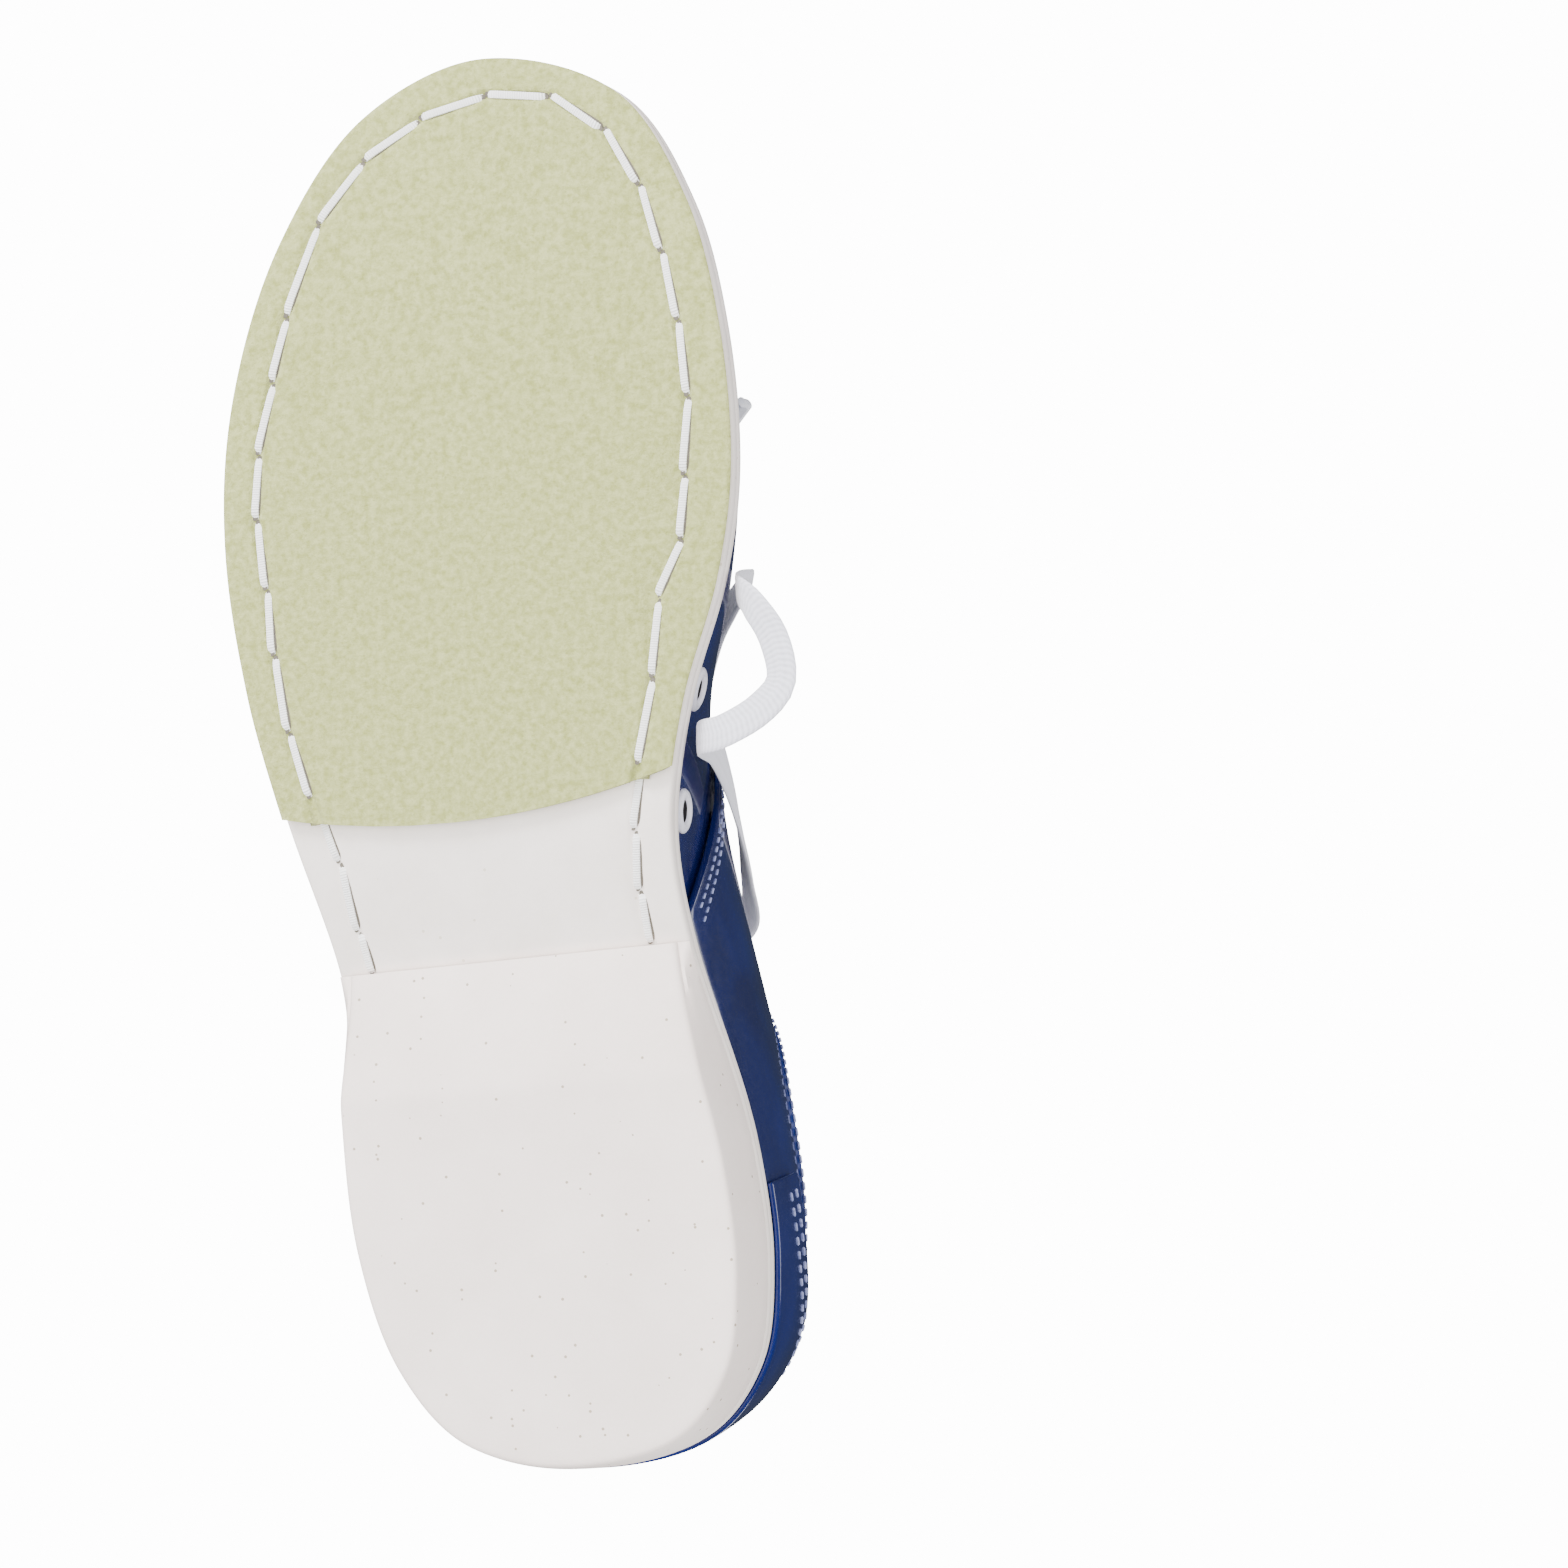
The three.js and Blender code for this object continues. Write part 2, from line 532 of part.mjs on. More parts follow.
function buildUpper() {
    const ventTools = ventHoles.map(([q, v]) => holeTool(vent, frameAt(q, v, 0)));
  const wrapForward = (rear) => (s, r) => {
    const v = r;
    return [mix(rear(v), 2 - rear(v), s), v];
  };
  patch('vamp', 'patent', { columns: 32, rows: 7, depths: depth.vamp, map: wrapForward(rearOfVamp), holes: ventTools,
    weldedTop: true });
  patch('vamp_lining', 'lining', { columns: 32, rows: 7, depths: depth.vampLining, map: wrapForward(rearOfVamp),
    holes: ventTools, weldedTop: true });
  const rearOfPuff = (v) => tAtStation(mix(232, 244, v));
  patch('toe_puff', 'board', { columns: 14, rows: 5, depths: depth.puff, map: wrapForward(rearOfPuff),
    weldedTop: true });
  for (const [side, label] of [[-1, 'lateral'], [1, 'medial']]) {
    const holes = laceHoles[side].map(([q, v]) => holeTool(eyelet, frameAt(q, v, 0)));
    const quarterMap = (s, r) => {
      const q = side * mix(throat.seam, frontOfQuarter(r), s);
      return [q, r * vTop(q)];
    };
    patch(`quarter_${label}`, 'patent', { columns: quarterColumns, rows: 6, depths: depth.quarter, map: quarterMap, holes });
    const liningMap = (s, r) => {
      const q = side * mix(throat.seam, Math.min(frontOfQuarter(r), rearOfVamp(r * 0.9) - 0.004), s);
      return [q, r * vBelow(q, vTop(q), 1.5)];
    };
    patch(`quarter_lining_${label}`, 'lining', { columns: quarterColumns, rows: 6, depths: depth.quarterLining, map: liningMap,
      holes });
    const stayMap = (s, r) => {
      const q = side * tAtStation(mix(collar.frontStation - 4, throat.frontStation - 2, s));
      return [q, mix(vBelow(q, vTop(q), 2 * eyelet.edge), vTop(q), r)];
    };
    patch(`eyestay_${label}`, 'patent', { columns: 12, rows: 2, depths: depth.overlay, map: stayMap, holes });
  }
}

function buildHeelAndCollar() {
  const reach = (station) => tAtStation(station);
  const aroundHeel = (station, bottomOf, topOf) => (s, r) => {
    const q = mix(-reach(station), reach(station), s);
    return [q, mix(bottomOf(q), topOf(q), r)];
  };
  const counterTop = (q) => bisect((v) => surface(q, v).z, 60, 0, 1);
  patch('counter_stiffener', 'board', { columns: 20, rows: 3, depths: depth.stiffener,
    map: aroundHeel(64, () => 0, counterTop) });
  const stayTop = (q) => mix(vTop(0), 0.12, smooth(Math.abs(q) / reach(58)) ** 0.8);
  patch('heel_counter', 'patent', { columns: 20, rows: 4, depths: depth.overlay,
    map: aroundHeel(58, () => 0, stayTop) });
  const padTop = (q) => vBelow(q, vTop(q), 1.5);
  const padFoot = (q) => vBelow(q, vTop(q), collar.depth);
  patch('collar_padding', 'lining', { columns: 30, rows: 3, depths: depth.collar,
    map: aroundHeel(collar.frontStation - 18, padFoot, padTop) });
  const bindingDepths = [depth.quarterLining[0], depth.quarter[1]];
  const reachColumns = Math.floor((quarterColumns * reach(collar.frontStation - 4)) / topEdgeQ(quarterColumns));
  const bindingMap = (s, r) => {
    const i = Math.round(mix(-reachColumns - 1, reachColumns, s));
    const q = i < 0 ? -topEdgeQ(-1 - i) : topEdgeQ(i);
    return [q, mix(vBelow(q, vTop(q), -gap), vBelow(q, vTop(q), -2), r)];
  };
  patch('topline_binding', 'patent', { columns: 2 * reachColumns + 1, rows: 1, depths: bindingDepths,
    map: bindingMap });
}

// Tongue: skin, foam and lining, from its root under the vamp to its free top
function tongueDepth(a) {
  return -mix(tongue.drop, tongue.rootDrop, smooth((a - 166) / 16));
}

function buildTongue() {
  const layer = (name, finish, from, to, inset) => {
    const grids = [from, to].map((offset) => Array.from({ length: 13 }, (_, i) => (
      Array.from({ length: 9 }, (_, j) => {
        const a = mix(tongue.top + inset, tongue.root, i / 12);
        const w = mix(-1, 1, j / 8);
        const round = Math.min(1, 1.25 * Math.sqrt(i / 12) + 0.55);
        const reach = (1 - tongue.side - inset / 60) * round;
        const q = (w < 0 ? -1 : 1) * tAtStation(a);
        return skin(q, 1 - Math.abs(w) * reach, tongueDepth(a) - offset);
      }))));
    addPiece(name, gridSolid(grids[0], grids[1]), finish);
  };
  const core = tongue.thickness - 2 * tongue.skin - 2 * gap;
  layer('tongue_outer', 'patent', 0, tongue.skin, 0);
  layer('tongue_foam', 'foam', tongue.skin + gap, tongue.skin + gap + core, 1.5);
  layer('tongue_lining', 'lining', tongue.thickness - tongue.skin, tongue.thickness, 0);
}

// Lace: the length held by the eyelets, in one piece from the knot round to the knot
const heldDepth = {
  top: depth.overlay[1] + 2 * gap + eyelet.rim + lace.boreThickness / 2,
  under: depth.quarterLining[0] - 3 * gap - lace.boreThickness / 2,
};

// One end of the lace from the lowest eyelet on a side up to the knot, crossing at every pair
function heldStrand(firstSide, lift) {
  const flat = [lace.heldWidth, lace.thickness];
  const round = [lace.boreWidth, lace.boreThickness];
  const stops = [];
  const stop = (q, v, d, section) => stops.push({ point: skin(q, v, d), section });
  const throughHole = (side, i) => {
    const [q, v] = laceHoles[side][i];
    stop(q, v, heldDepth.under, round);
    stop(q, v, 0, round);
    stop(q, v, heldDepth.top + gap, round);
  };
  throughHole(firstSide, 0);
  let side = firstSide;
  for (let i = 0; i < eyelet.pairs - 1; i += 1) {
    const from = Math.abs(laceHoles[side][i][0]);
    const to = Math.abs(laceHoles[side][i + 1][0]);
    const near = side * mix(from, to, 0.22);
    stop(near, vBelow(near, vTop(near), 1), heldDepth.top, flat);
    stop(mix(from, to, 0.5), 1, depth.overlay[1] + lift, flat);
    side = -side;
    const far = side * mix(from, to, 0.8);
    stop(far, vBelow(far, vTop(far), -3.9), 0.6, flat);
    stop(far, vBelow(far, vTop(far), -3.1), depth.quarterLining[0] - 1.7, flat);
    stop(far, vBelow(far, vTop(far), 2.4), heldDepth.under - gap, flat);
    throughHole(side, i + 1);
  }
  const [q] = laceHoles[side].at(-1);
  stop(q, vBelow(q, vTop(q), 1), heldDepth.top, flat);
  const end = new THREE.Vector3(knot.x + side * (knot.radii[0] + gap + 0.3), knot.y + 2.5, knot.z - 1);
  stops.push({ point: end, section: flat });
  return stops;
}

// Routes of the free lace from the knot: each stop has its place and the way the flat of the lace faces
const facing = (x, y, z) => new THREE.Vector3(x, y, z).normalize();
const onUpper = (q, v, height) => [skin(q, v, height), normalAt(q, v)];
const besideSole = (q, out, z) => {
  const edge = outline(q, -out);
  const flat = smooth((14 - z) / 14 - 0.35);
  return [place(edge.a, edge.x, z), facing((1 - flat) * Math.sign(q), 0, flat)];
};
const offKnot = (x, y, z) => [new THREE.Vector3(knot.x + x, knot.y + y, knot.z + z), facing(0.04 * x, 0.02 * y, 1)];

const medialLoop = () => [
  offKnot(8.8, 0, 1.5), offKnot(16, -3, 0.5), onUpper(0.384, 0.7, 9.4), onUpper(0.42, 0.55, 5.8),
  onUpper(0.455, 0.4, 4.4), onUpper(0.485, 0.25, 3.8), onUpper(0.505, 0.1, 4.4), besideSole(0.513, 3.2, 7),
  besideSole(0.52, 9, 1.5), besideSole(0.54, 16, 0.9), besideSole(0.562, 18.5, 0.9), besideSole(0.585, 14, 0.9),
  besideSole(0.598, 8, 1.5), besideSole(0.603, 3.2, 7), onUpper(0.606, 0.1, 4.4), onUpper(0.605, 0.25, 2.4),
  onUpper(0.597, 0.42, 2.4), onUpper(0.577, 0.58, 4), onUpper(0.543, 0.69, 6.8), onUpper(0.5, 0.755, 9.2),
  onUpper(0.46, 0.78, 9.4), onUpper(0.424, 0.8, 8.8), offKnot(13.5, -11, -7), offKnot(9.2, -4.8, -4.3),
];
const lateralLoop = () => [
  offKnot(-8.8, 0, 1.5), offKnot(-16, -3, 0.5), onUpper(-0.388, 0.7, 9.4), onUpper(-0.424, 0.57, 5.8),
  onUpper(-0.466, 0.43, 4.4), onUpper(-0.508, 0.31, 4), onUpper(-0.54, 0.27, 3), onUpper(-0.565, 0.32, 2.6),
  onUpper(-0.572, 0.44, 3.4), onUpper(-0.55, 0.57, 4.4), onUpper(-0.505, 0.67, 8.2), onUpper(-0.46, 0.74, 9.4),
  onUpper(-0.424, 0.8, 8.8), offKnot(-14.8, -11, -6), offKnot(-9.2, -4.8, -4.3),
];
const medialEnd = () => [
  offKnot(4.6, -8.2, -0.5), onUpper(0.404, 0.93, 9.4), onUpper(0.444, 0.92, 8.8), onUpper(0.484, 0.91, 8.6),
  onUpper(0.52, 0.89, 9), onUpper(0.556, 0.86, 7), onUpper(0.595, 0.83, 3.8), onUpper(0.63, 0.78, 1),
  onUpper(0.66, 0.7, 0.6), onUpper(0.683, 0.6, 0.8), onUpper(0.696, 0.52, 1.7),
];
const lateralEnd = () => [
  offKnot(-4.6, -8.2, -0.5), onUpper(-0.404, 0.95, 9.4), onUpper(-0.44, 0.95, 8.8), onUpper(-0.484, 0.93, 9),
  onUpper(-0.524, 0.88, 9.6), onUpper(-0.56, 0.77, 6), onUpper(-0.588, 0.62, 3.4), onUpper(-0.604, 0.45, 2),
  onUpper(-0.612, 0.3, 1.9), onUpper(-0.616, 0.2, 2.3),
];
const routes = { lace_loop_medial: medialLoop, lace_loop_lateral: lateralLoop,
  lace_end_medial: medialEnd, lace_end_lateral: lateralEnd };

// Centre line of a route at even steps, and the directions that the width of the lace lies along there
function flatLace(route) {
  const path = new THREE.CatmullRomCurve3(route.map(([point]) => point));
  const faces = new THREE.CatmullRomCurve3(route.map(([, face]) => face));
  const count = Math.ceil(path.getLength() / lace.step);
  const points = path.getSpacedPoints(count);
  const sides = points.map((_, i) => {
    const face = faces.getPoint(path.getUtoTmapping(i / count));
    return path.getTangentAt(i / count).cross(face).normalize();
  });
  return { points, sides };
}

function buildLace() {
  const strands = [heldStrand(1, lace.cross), heldStrand(-1, -lace.cross)];
  const bar = strands.map(([start]) => start.point).reduce((a, b) => a.clone().lerp(b, 0.5));
  const middle = { point: bar.setZ(bar.z + 2.6), section: [lace.heldWidth, lace.thickness] };
  const stops = [...strands[0].reverse(), middle, ...strands[1]];
  const acrossBore = stops.map(() => new THREE.Vector3(0, 1, 0));
  addPiece('lace_held', ribbonSolid(stops.map((stop) => stop.point), acrossBore,
    stops.map((stop) => stop.section[0]), stops.map((stop) => stop.section[1])), 'lace');
  const ball = new THREE.SphereGeometry(1, 12, 8);
  ball.scale(...knot.radii);
  ball.translate(knot.x, knot.y, knot.z);
  addPiece('lace_knot', ball, 'lace');
  for (const [name, route] of Object.entries(routes)) {
    const { points, sides } = flatLace(route());
    const [widths, thicknesses] = [lace.width, lace.thickness].map((size) => points.map(() => size));
    addPiece(name, ribbonSolid(points, sides, widths, thicknesses), 'lace');
    if (!name.includes('end')) continue;
    const [tip, along] = [points.at(-1), points.at(-1).clone().sub(points.at(-2)).normalize()];
    const tag = new THREE.CylinderGeometry(aglet.radius, aglet.radius * 0.8, aglet.length, 12);
    tag.applyQuaternion(new THREE.Quaternion().setFromUnitVectors(new THREE.Vector3(0, -1, 0), along));
    const centre = tip.clone().addScaledVector(along, aglet.length / 2 + gap);
    addPiece(name.replace('end', 'aglet'), tag.translate(centre.x, centre.y, centre.z), 'aglet');
  }
}

buildSole();
buildBottom();
buildUpper();
buildEyelets();
buildHeelAndCollar();
buildTongue();
buildLace();

export default model;
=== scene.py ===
import math
import random

import bmesh
import bpy
import numpy as np
from mathutils import Matrix, Vector


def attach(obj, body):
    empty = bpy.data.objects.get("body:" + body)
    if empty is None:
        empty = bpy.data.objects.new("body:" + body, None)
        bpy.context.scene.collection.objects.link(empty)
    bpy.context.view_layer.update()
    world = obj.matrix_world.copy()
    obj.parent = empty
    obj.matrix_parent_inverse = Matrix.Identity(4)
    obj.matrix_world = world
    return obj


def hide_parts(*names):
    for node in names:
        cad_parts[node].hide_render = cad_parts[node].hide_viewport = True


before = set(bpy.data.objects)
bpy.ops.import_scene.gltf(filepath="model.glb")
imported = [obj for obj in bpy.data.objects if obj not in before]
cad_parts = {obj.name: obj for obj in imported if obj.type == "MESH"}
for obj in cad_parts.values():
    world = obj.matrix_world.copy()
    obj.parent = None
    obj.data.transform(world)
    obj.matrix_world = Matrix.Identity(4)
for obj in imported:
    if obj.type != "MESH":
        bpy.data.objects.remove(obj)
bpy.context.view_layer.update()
bpy.ops.object.select_all(action="DESELECT")

# ---------------------------------------------------------------------------
# Studio. The shoe stands on a pale floor under soft light, and the camera looks
# up at the sole from below, through the floor, with the toe at the top.
sole_tilt = math.radians(13.3)
camera_roll = math.radians(3.05)
camera_distance = 0.8900
backward = Vector((math.sin(sole_tilt), 0, -math.cos(sole_tilt)))
level_right = Vector((math.cos(sole_tilt), 0, math.sin(sole_tilt)))
level_up = Vector((0, -1, 0))
camera_up = level_up * math.cos(camera_roll) + level_right * math.sin(camera_roll)
camera_right = level_right * math.cos(camera_roll) - level_up * math.sin(camera_roll)
camera_aim = camera_right * 0.0604 - camera_up * 0.0031
bpy.ops.object.camera_add()
camera = bpy.context.object
camera.data.lens = 100
camera.data.sensor_width = 36
camera.data.clip_start = 0.01
turn = Matrix((camera_right, camera_up, backward)).transposed()
camera.matrix_world = Matrix.Translation(camera_aim + backward * camera_distance) @ turn.to_4x4()
bpy.context.scene.camera = camera


def soft_light(name, place, aim, power, size):
    bpy.ops.object.light_add(type="AREA", location=place)
    lamp = bpy.context.object
    lamp.name = name
    lamp.data.energy = power
    lamp.data.size = size
    lamp.rotation_euler = (Vector(aim) - Vector(place)).to_track_quat("-Z", "Y").to_euler()


soft_light("light_under", (-0.5, -1.0, -0.75), (0, 0, 0.02), 30, 0.5)
soft_light("light_key", (-0.5, -0.7, 0.9), (0, 0, 0.04), 7, 0.5)
soft_light("light_fill", (0.8, -0.1, 0.6), (0, 0, 0.04), 4, 0.8)
soft_light("light_back", (0.1, 0.9, 0.7), (0, 0.05, 0.04), 5, 0.6)


def put(tree, kind, links=None, **settings):
    """A shader node with its settings, and its sockets linked or set."""
    node = tree.nodes.new("ShaderNode" + kind)
    for key, value in settings.items():
        setattr(node, key, value)
    for key, value in (links or {}).items():
        socket = node.inputs[key]
        if isinstance(value, bpy.types.NodeSocket):
            tree.links.new(value, socket)
        else:
            socket.default_value = value
    return node


def blank_finish(name):
    """A new material and its empty node tree."""
    finish = bpy.data.materials.new(name)
    finish.use_nodes = True
    finish.node_tree.nodes.clear()
    return finish, finish.node_tree


def linear(red, green, blue):
    """A display colour from 0 to 255 as the linear colour that a shader takes."""
    levels = [level / 255 for level in (red, green, blue)]
    curve = [v / 12.92 if v <= 0.04045 else ((v + 0.055) / 1.055) ** 2.4 for v in levels]
    return (*curve, 1.0)


world = bpy.data.worlds.new("studio_white")
world.use_nodes = True
world.node_tree.nodes.clear()
way = put(world.node_tree, "TexCoord")
way_split = put(world.node_tree, "SeparateXYZ", {0: way.outputs["Generated"]})
glow = put(world.node_tree, "ValToRGB", {0: put(world.node_tree, "MapRange",
                                                {0: way_split.outputs[2], 1: -1.0, 2: 1.0}).outputs[0]})
for stop, (position, level) in zip((0, 1), ((0.0, 1.0), (0.34, 0.15))):
    glow.color_ramp.elements[stop].position = position
    glow.color_ramp.elements[stop].color = (level, level, level, 1)
upper_glow = glow.color_ramp.elements.new(1.0)
upper_glow.color = (0.2, 0.2, 0.2, 1)
ambient = put(world.node_tree, "Background", {"Color": glow.outputs[0], "Strength": 4.6})
mirrored = put(world.node_tree, "Background", {"Color": (0.6, 0.72, 1.0, 1), "Strength": 0.07})
backdrop = put(world.node_tree, "Background", {"Color": (1, 1, 1, 1), "Strength": 14.0})
ray = put(world.node_tree, "LightPath")
bounced = put(world.node_tree, "MixShader", {0: ray.outputs["Is Glossy Ray"], 1: ambient.outputs[0],
                                             2: mirrored.outputs[0]})
either = put(world.node_tree, "MixShader", {0: ray.outputs["Is Camera Ray"], 1: bounced.outputs[0],
                                            2: backdrop.outputs[0]})
put(world.node_tree, "OutputWorld", {"Surface": either.outputs[0]})
bpy.context.scene.world = world

bpy.ops.mesh.primitive_plane_add(size=6, location=(0, 0, 0))
floor = bpy.context.object
floor.name = "floor"
floor.data.transform(Matrix.Translation((0, 0, -0.0006)))
floor.visible_shadow = False
floor.visible_diffuse = False
floor.visible_glossy = False
floor_finish, tree = blank_finish("floor_white")
matt = put(tree, "BsdfPrincipled", {"Base Color": (0.86, 0.86, 0.85, 1), "Roughness": 0.7})
through = put(tree, "BsdfTransparent")
side = put(tree, "NewGeometry")
pane = put(tree, "MixShader", {0: side.outputs["Backfacing"], 1: matt.outputs[0], 2: through.outputs[0]})
put(tree, "OutputMaterial", {"Surface": pane.outputs[0]})
floor.data.materials.append(floor_finish)

# ---------------------------------------------------------------------------
# Free laces. Flat woven cotton lace, 7 mm wide, tied in a bow: two loops and two
# ends come out of the knot, lie over the shoe, and one loop reaches the floor.
MM = 0.001
lace_width = 7.0
lace_thickness = 1.2


def spline(stops, steps):
    """A centripetal spline through stops, but for the first and the last: its points, and the length run at each."""
    fine = []
    for before, start, end, after in zip(stops, stops[1:], stops[2:], stops[3:]):
        pairs = ((before, start), (start, end), (end, after))
        d0, d1, d2 = (max(1e-4, np.linalg.norm((b - a)[:3])) ** 0.5 for a, b in pairs)
        m1 = ((start - before) / d0 - (end - before) / (d0 + d1) + (end - start) / d1) * d1
        m2 = ((end - start) / d1 - (after - start) / (d1 + d2) + (after - end) / d2) * d1
        s = np.linspace(0, 1, steps, endpoint=False)[:, None]
        square = (3 * (end - start) - 2 * m1 - m2) * s**2
        fine.append(start + m1 * s + square + (2 * (start - end) + m1 + m2) * s**3)
    fine = np.vstack([*fine, stops[-2:-1]])
    return fine, np.concatenate([[0], np.cumsum(np.linalg.norm(np.diff(fine[:, :3], axis=0), axis=1))])


def smoothed(stops, count):
    """A spline through stops, whose first three numbers are a place, at even steps."""
    stops = np.asarray(stops, float)
    fine, run = spline(np.vstack([2 * stops[0] - stops[1], stops, 2 * stops[-1] - stops[-2]]), 24)
    even = np.linspace(0, run[-1], count + 1)
    return np.stack([np.interp(even, run, column) for column in fine.T], axis=1), run[-1]


def grid_mesh(name, points, wrapped=False):
    """A grid with rows of points in millimetres; wrapped joins each row's ends, and doubles are merged."""
    rows, columns = points.shape[:2]
    bpy.ops.mesh.primitive_grid_add(x_subdivisions=columns - 1, y_subdivisions=rows - 1, size=1, calc_uvs=True)
    piece = bpy.context.object
    piece.name = name
    piece.data.name = name
    piece.data.vertices.foreach_set("co", (points * MM).astype(np.float32).ravel())
    if wrapped:
        in_edit_mode((bpy.ops.mesh.remove_doubles, {"threshold": 0.00001}))
    piece.data.update()
    return piece


def in_edit_mode(*steps):
    """Runs edit operators on all of the active piece."""
    bpy.ops.object.mode_set(mode="EDIT")
    bpy.ops.mesh.select_all(action="SELECT")
    for step, settings in steps:
        step(**settings)
    bpy.ops.object.mode_set(mode="OBJECT")


def fitted(piece, body, slot, *nodes):
    """Puts a piece on its body, in place of the nodes it stands for; slot is not used."""
    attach(piece, body)
    if nodes:
        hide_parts(*nodes)


outwards = (bpy.ops.mesh.normals_make_consistent, {"inside": False})


def capped(piece):
    """Closes the open ends of a tube, and points all its faces outwards."""
    bpy.ops.object.mode_set(mode="EDIT")
    bpy.ops.mesh.select_all(action="DESELECT")
    bpy.ops.mesh.select_mode(type="EDGE")
    bpy.ops.mesh.select_non_manifold(extend=False)
    bpy.ops.mesh.fill()
    bpy.ops.mesh.select_all(action="SELECT")
    bpy.ops.mesh.normals_make_consistent(inside=False)
    bpy.ops.mesh.select_mode(type="VERT")
    bpy.ops.object.mode_set(mode="OBJECT")
    return piece


def lace_band(name, stops, step=2.2, around=12, width_way=None):
    """A flat band swept along stops of place, facing, width and thickness; its map is in millimetres along it."""
    count = int(np.linalg.norm(np.diff(np.asarray(stops)[:, :3], axis=0), axis=1).sum() / step)
    line, length = smoothed(stops, count)
    along = np.gradient(line[:, :3], axis=0)
    along /= np.linalg.norm(along, axis=1)[:, None]
    faces = line[:, 3:6] if width_way is None else np.cross(width_way, along)
    across = np.cross(along, faces)
    across /= np.linalg.norm(across, axis=1)[:, None]
    face = np.cross(across, along)
    angle = np.linspace(0, 2 * math.pi, around + 1)
    wide = np.sign(np.cos(angle)) * np.abs(np.cos(angle)) ** 0.45 / 2
    thick = np.sign(np.sin(angle)) * np.abs(np.sin(angle)) ** 0.75 / 2
    ring = wide[:, None, None] * across * line[:, 6:7] + thick[:, None, None] * face * line[:, 7:8]
    band = grid_mesh(name, line[None, :, :3] + ring, wrapped=True)
    for corner in band.data.uv_layers.active.data:
        corner.uv.x *= length
    capped(band)
    bpy.ops.object.shade_smooth_by_angle(angle=math.radians(50))
    return band, line[:, :3] * MM, length * MM


def woven_lace(name, colour, rib_mm):
    """White lace woven in slanting ribs that meet along its middle, with a firm edge on each side."""
    finish, tree = blank_finish(name)
    where = put(tree, "UVMap")
    split = put(tree, "SeparateXYZ", {0: where.outputs[0]})
    around = put(tree, "Math", {0: split.outputs[1], 1: 2.0}, operation="MULTIPLY")
    half = put(tree, "Math", {0: around.outputs[0]}, operation="FRACT")
    centred = put(tree, "Math", {0: half.outputs[0], 1: 0.5}, operation="SUBTRACT")
    off = put(tree, "Math", {0: centred.outputs[0]}, operation="ABSOLUTE")
    slant = put(tree, "Math", {0: off.outputs[0], 1: 3.2, 2: split.outputs[0]}, operation="MULTIPLY_ADD")
    phase = put(tree, "Math", {0: slant.outputs[0], 1: 2 * math.pi / rib_mm}, operation="MULTIPLY")
    rib = put(tree, "Math", {0: phase.outputs[0]}, operation="SINE")
    yarn_phase = put(tree, "Math", {0: off.outputs[0], 1: 60.0}, operation="MULTIPLY")
    yarn = put(tree, "Math", {0: yarn_phase.outputs[0]}, operation="SINE")
    both = put(tree, "Math", {0: yarn.outputs[0], 1: 0.35, 2: rib.outputs[0]}, operation="MULTIPLY_ADD")
    shade = put(tree, "MapRange", {0: both.outputs[0], 1: -1.35, 2: 1.35, 3: 0.0, 4: 1.0})
    fuzz = put(tree, "TexNoise", {"Scale": 900.0, "Detail": 2.0})
    lit = put(tree, "Math", {0: fuzz.outputs[0], 1: 0.3, 2: shade.outputs[0]}, operation="MULTIPLY_ADD")
    dark = tuple(level * 0.74 for level in colour[:3]) + (1.0,)
    tone = put(tree, "Mix", {0: lit.outputs[0], 6: dark, 7: colour}, data_type="RGBA")
    bump = put(tree, "Bump", {"Height": lit.outputs[0], "Strength": 0.5, "Distance": 0.00015})
    cloth = put(tree, "BsdfPrincipled", {"Base Color": tone.outputs[2], "Roughness": 0.85, "Sheen Weight": 0.3,
                                         "Sheen Roughness": 0.5, "Normal": bump.outputs[0]})
    put(tree, "OutputMaterial", {"Surface": cloth.outputs[0]})
    return finish


lace_finish = woven_lace("lace_white", linear(232, 232, 244), 1.15)
medial_loop_stops = [
    (11.8, 44, 116, .33, 0, .94), (19, 41, 115, .54, -.05, .84), (27.5, 36.2, 103.7, .68, -.33, .65),
    (32.3, 25.5, 84.6, .86, -.26, .45), (36, 14.6, 64.8, .96, -.12, .26), (38.9, 4.9, 45.1, .99, .06, .12),
    (41.5, -1.6, 25.1, .98, .18, .01), (43.1, -4, 7, 1, 0, .06), (49.3, -5, 1.5, .61, 0, .79),
    (57.6, -9.2, .9, .3, 0, .95), (62.1, -14.4, .9, .3, 0, .95), (60.9, -23.6, .9, .3, 0, .95),
    (56.8, -30.3, 1.5, .61, 0, .79), (52.8, -33.5, 7, 1, 0, .06), (51.5, -35, 22, .97, .25, .08),
    (47, -35.3, 36.3, .95, .18, .26), (40.9, -33, 50.7, .87, .06, .48), (33, -26.9, 64.6, .73, -.1, .67),
    (26.1, -16.9, 77.4, .62, -.24, .75), (21.9, -3.6, 89, .55, -.33, .77), (20.2, 9.6, 96.6, .53, -.37, .76),
    (18.9, 22.1, 102.9, .5, -.39, .77), (16.5, 33, 107.5, .47, -.19, .86), (12.2, 39.2, 110.2, .34, -.09, .93)]
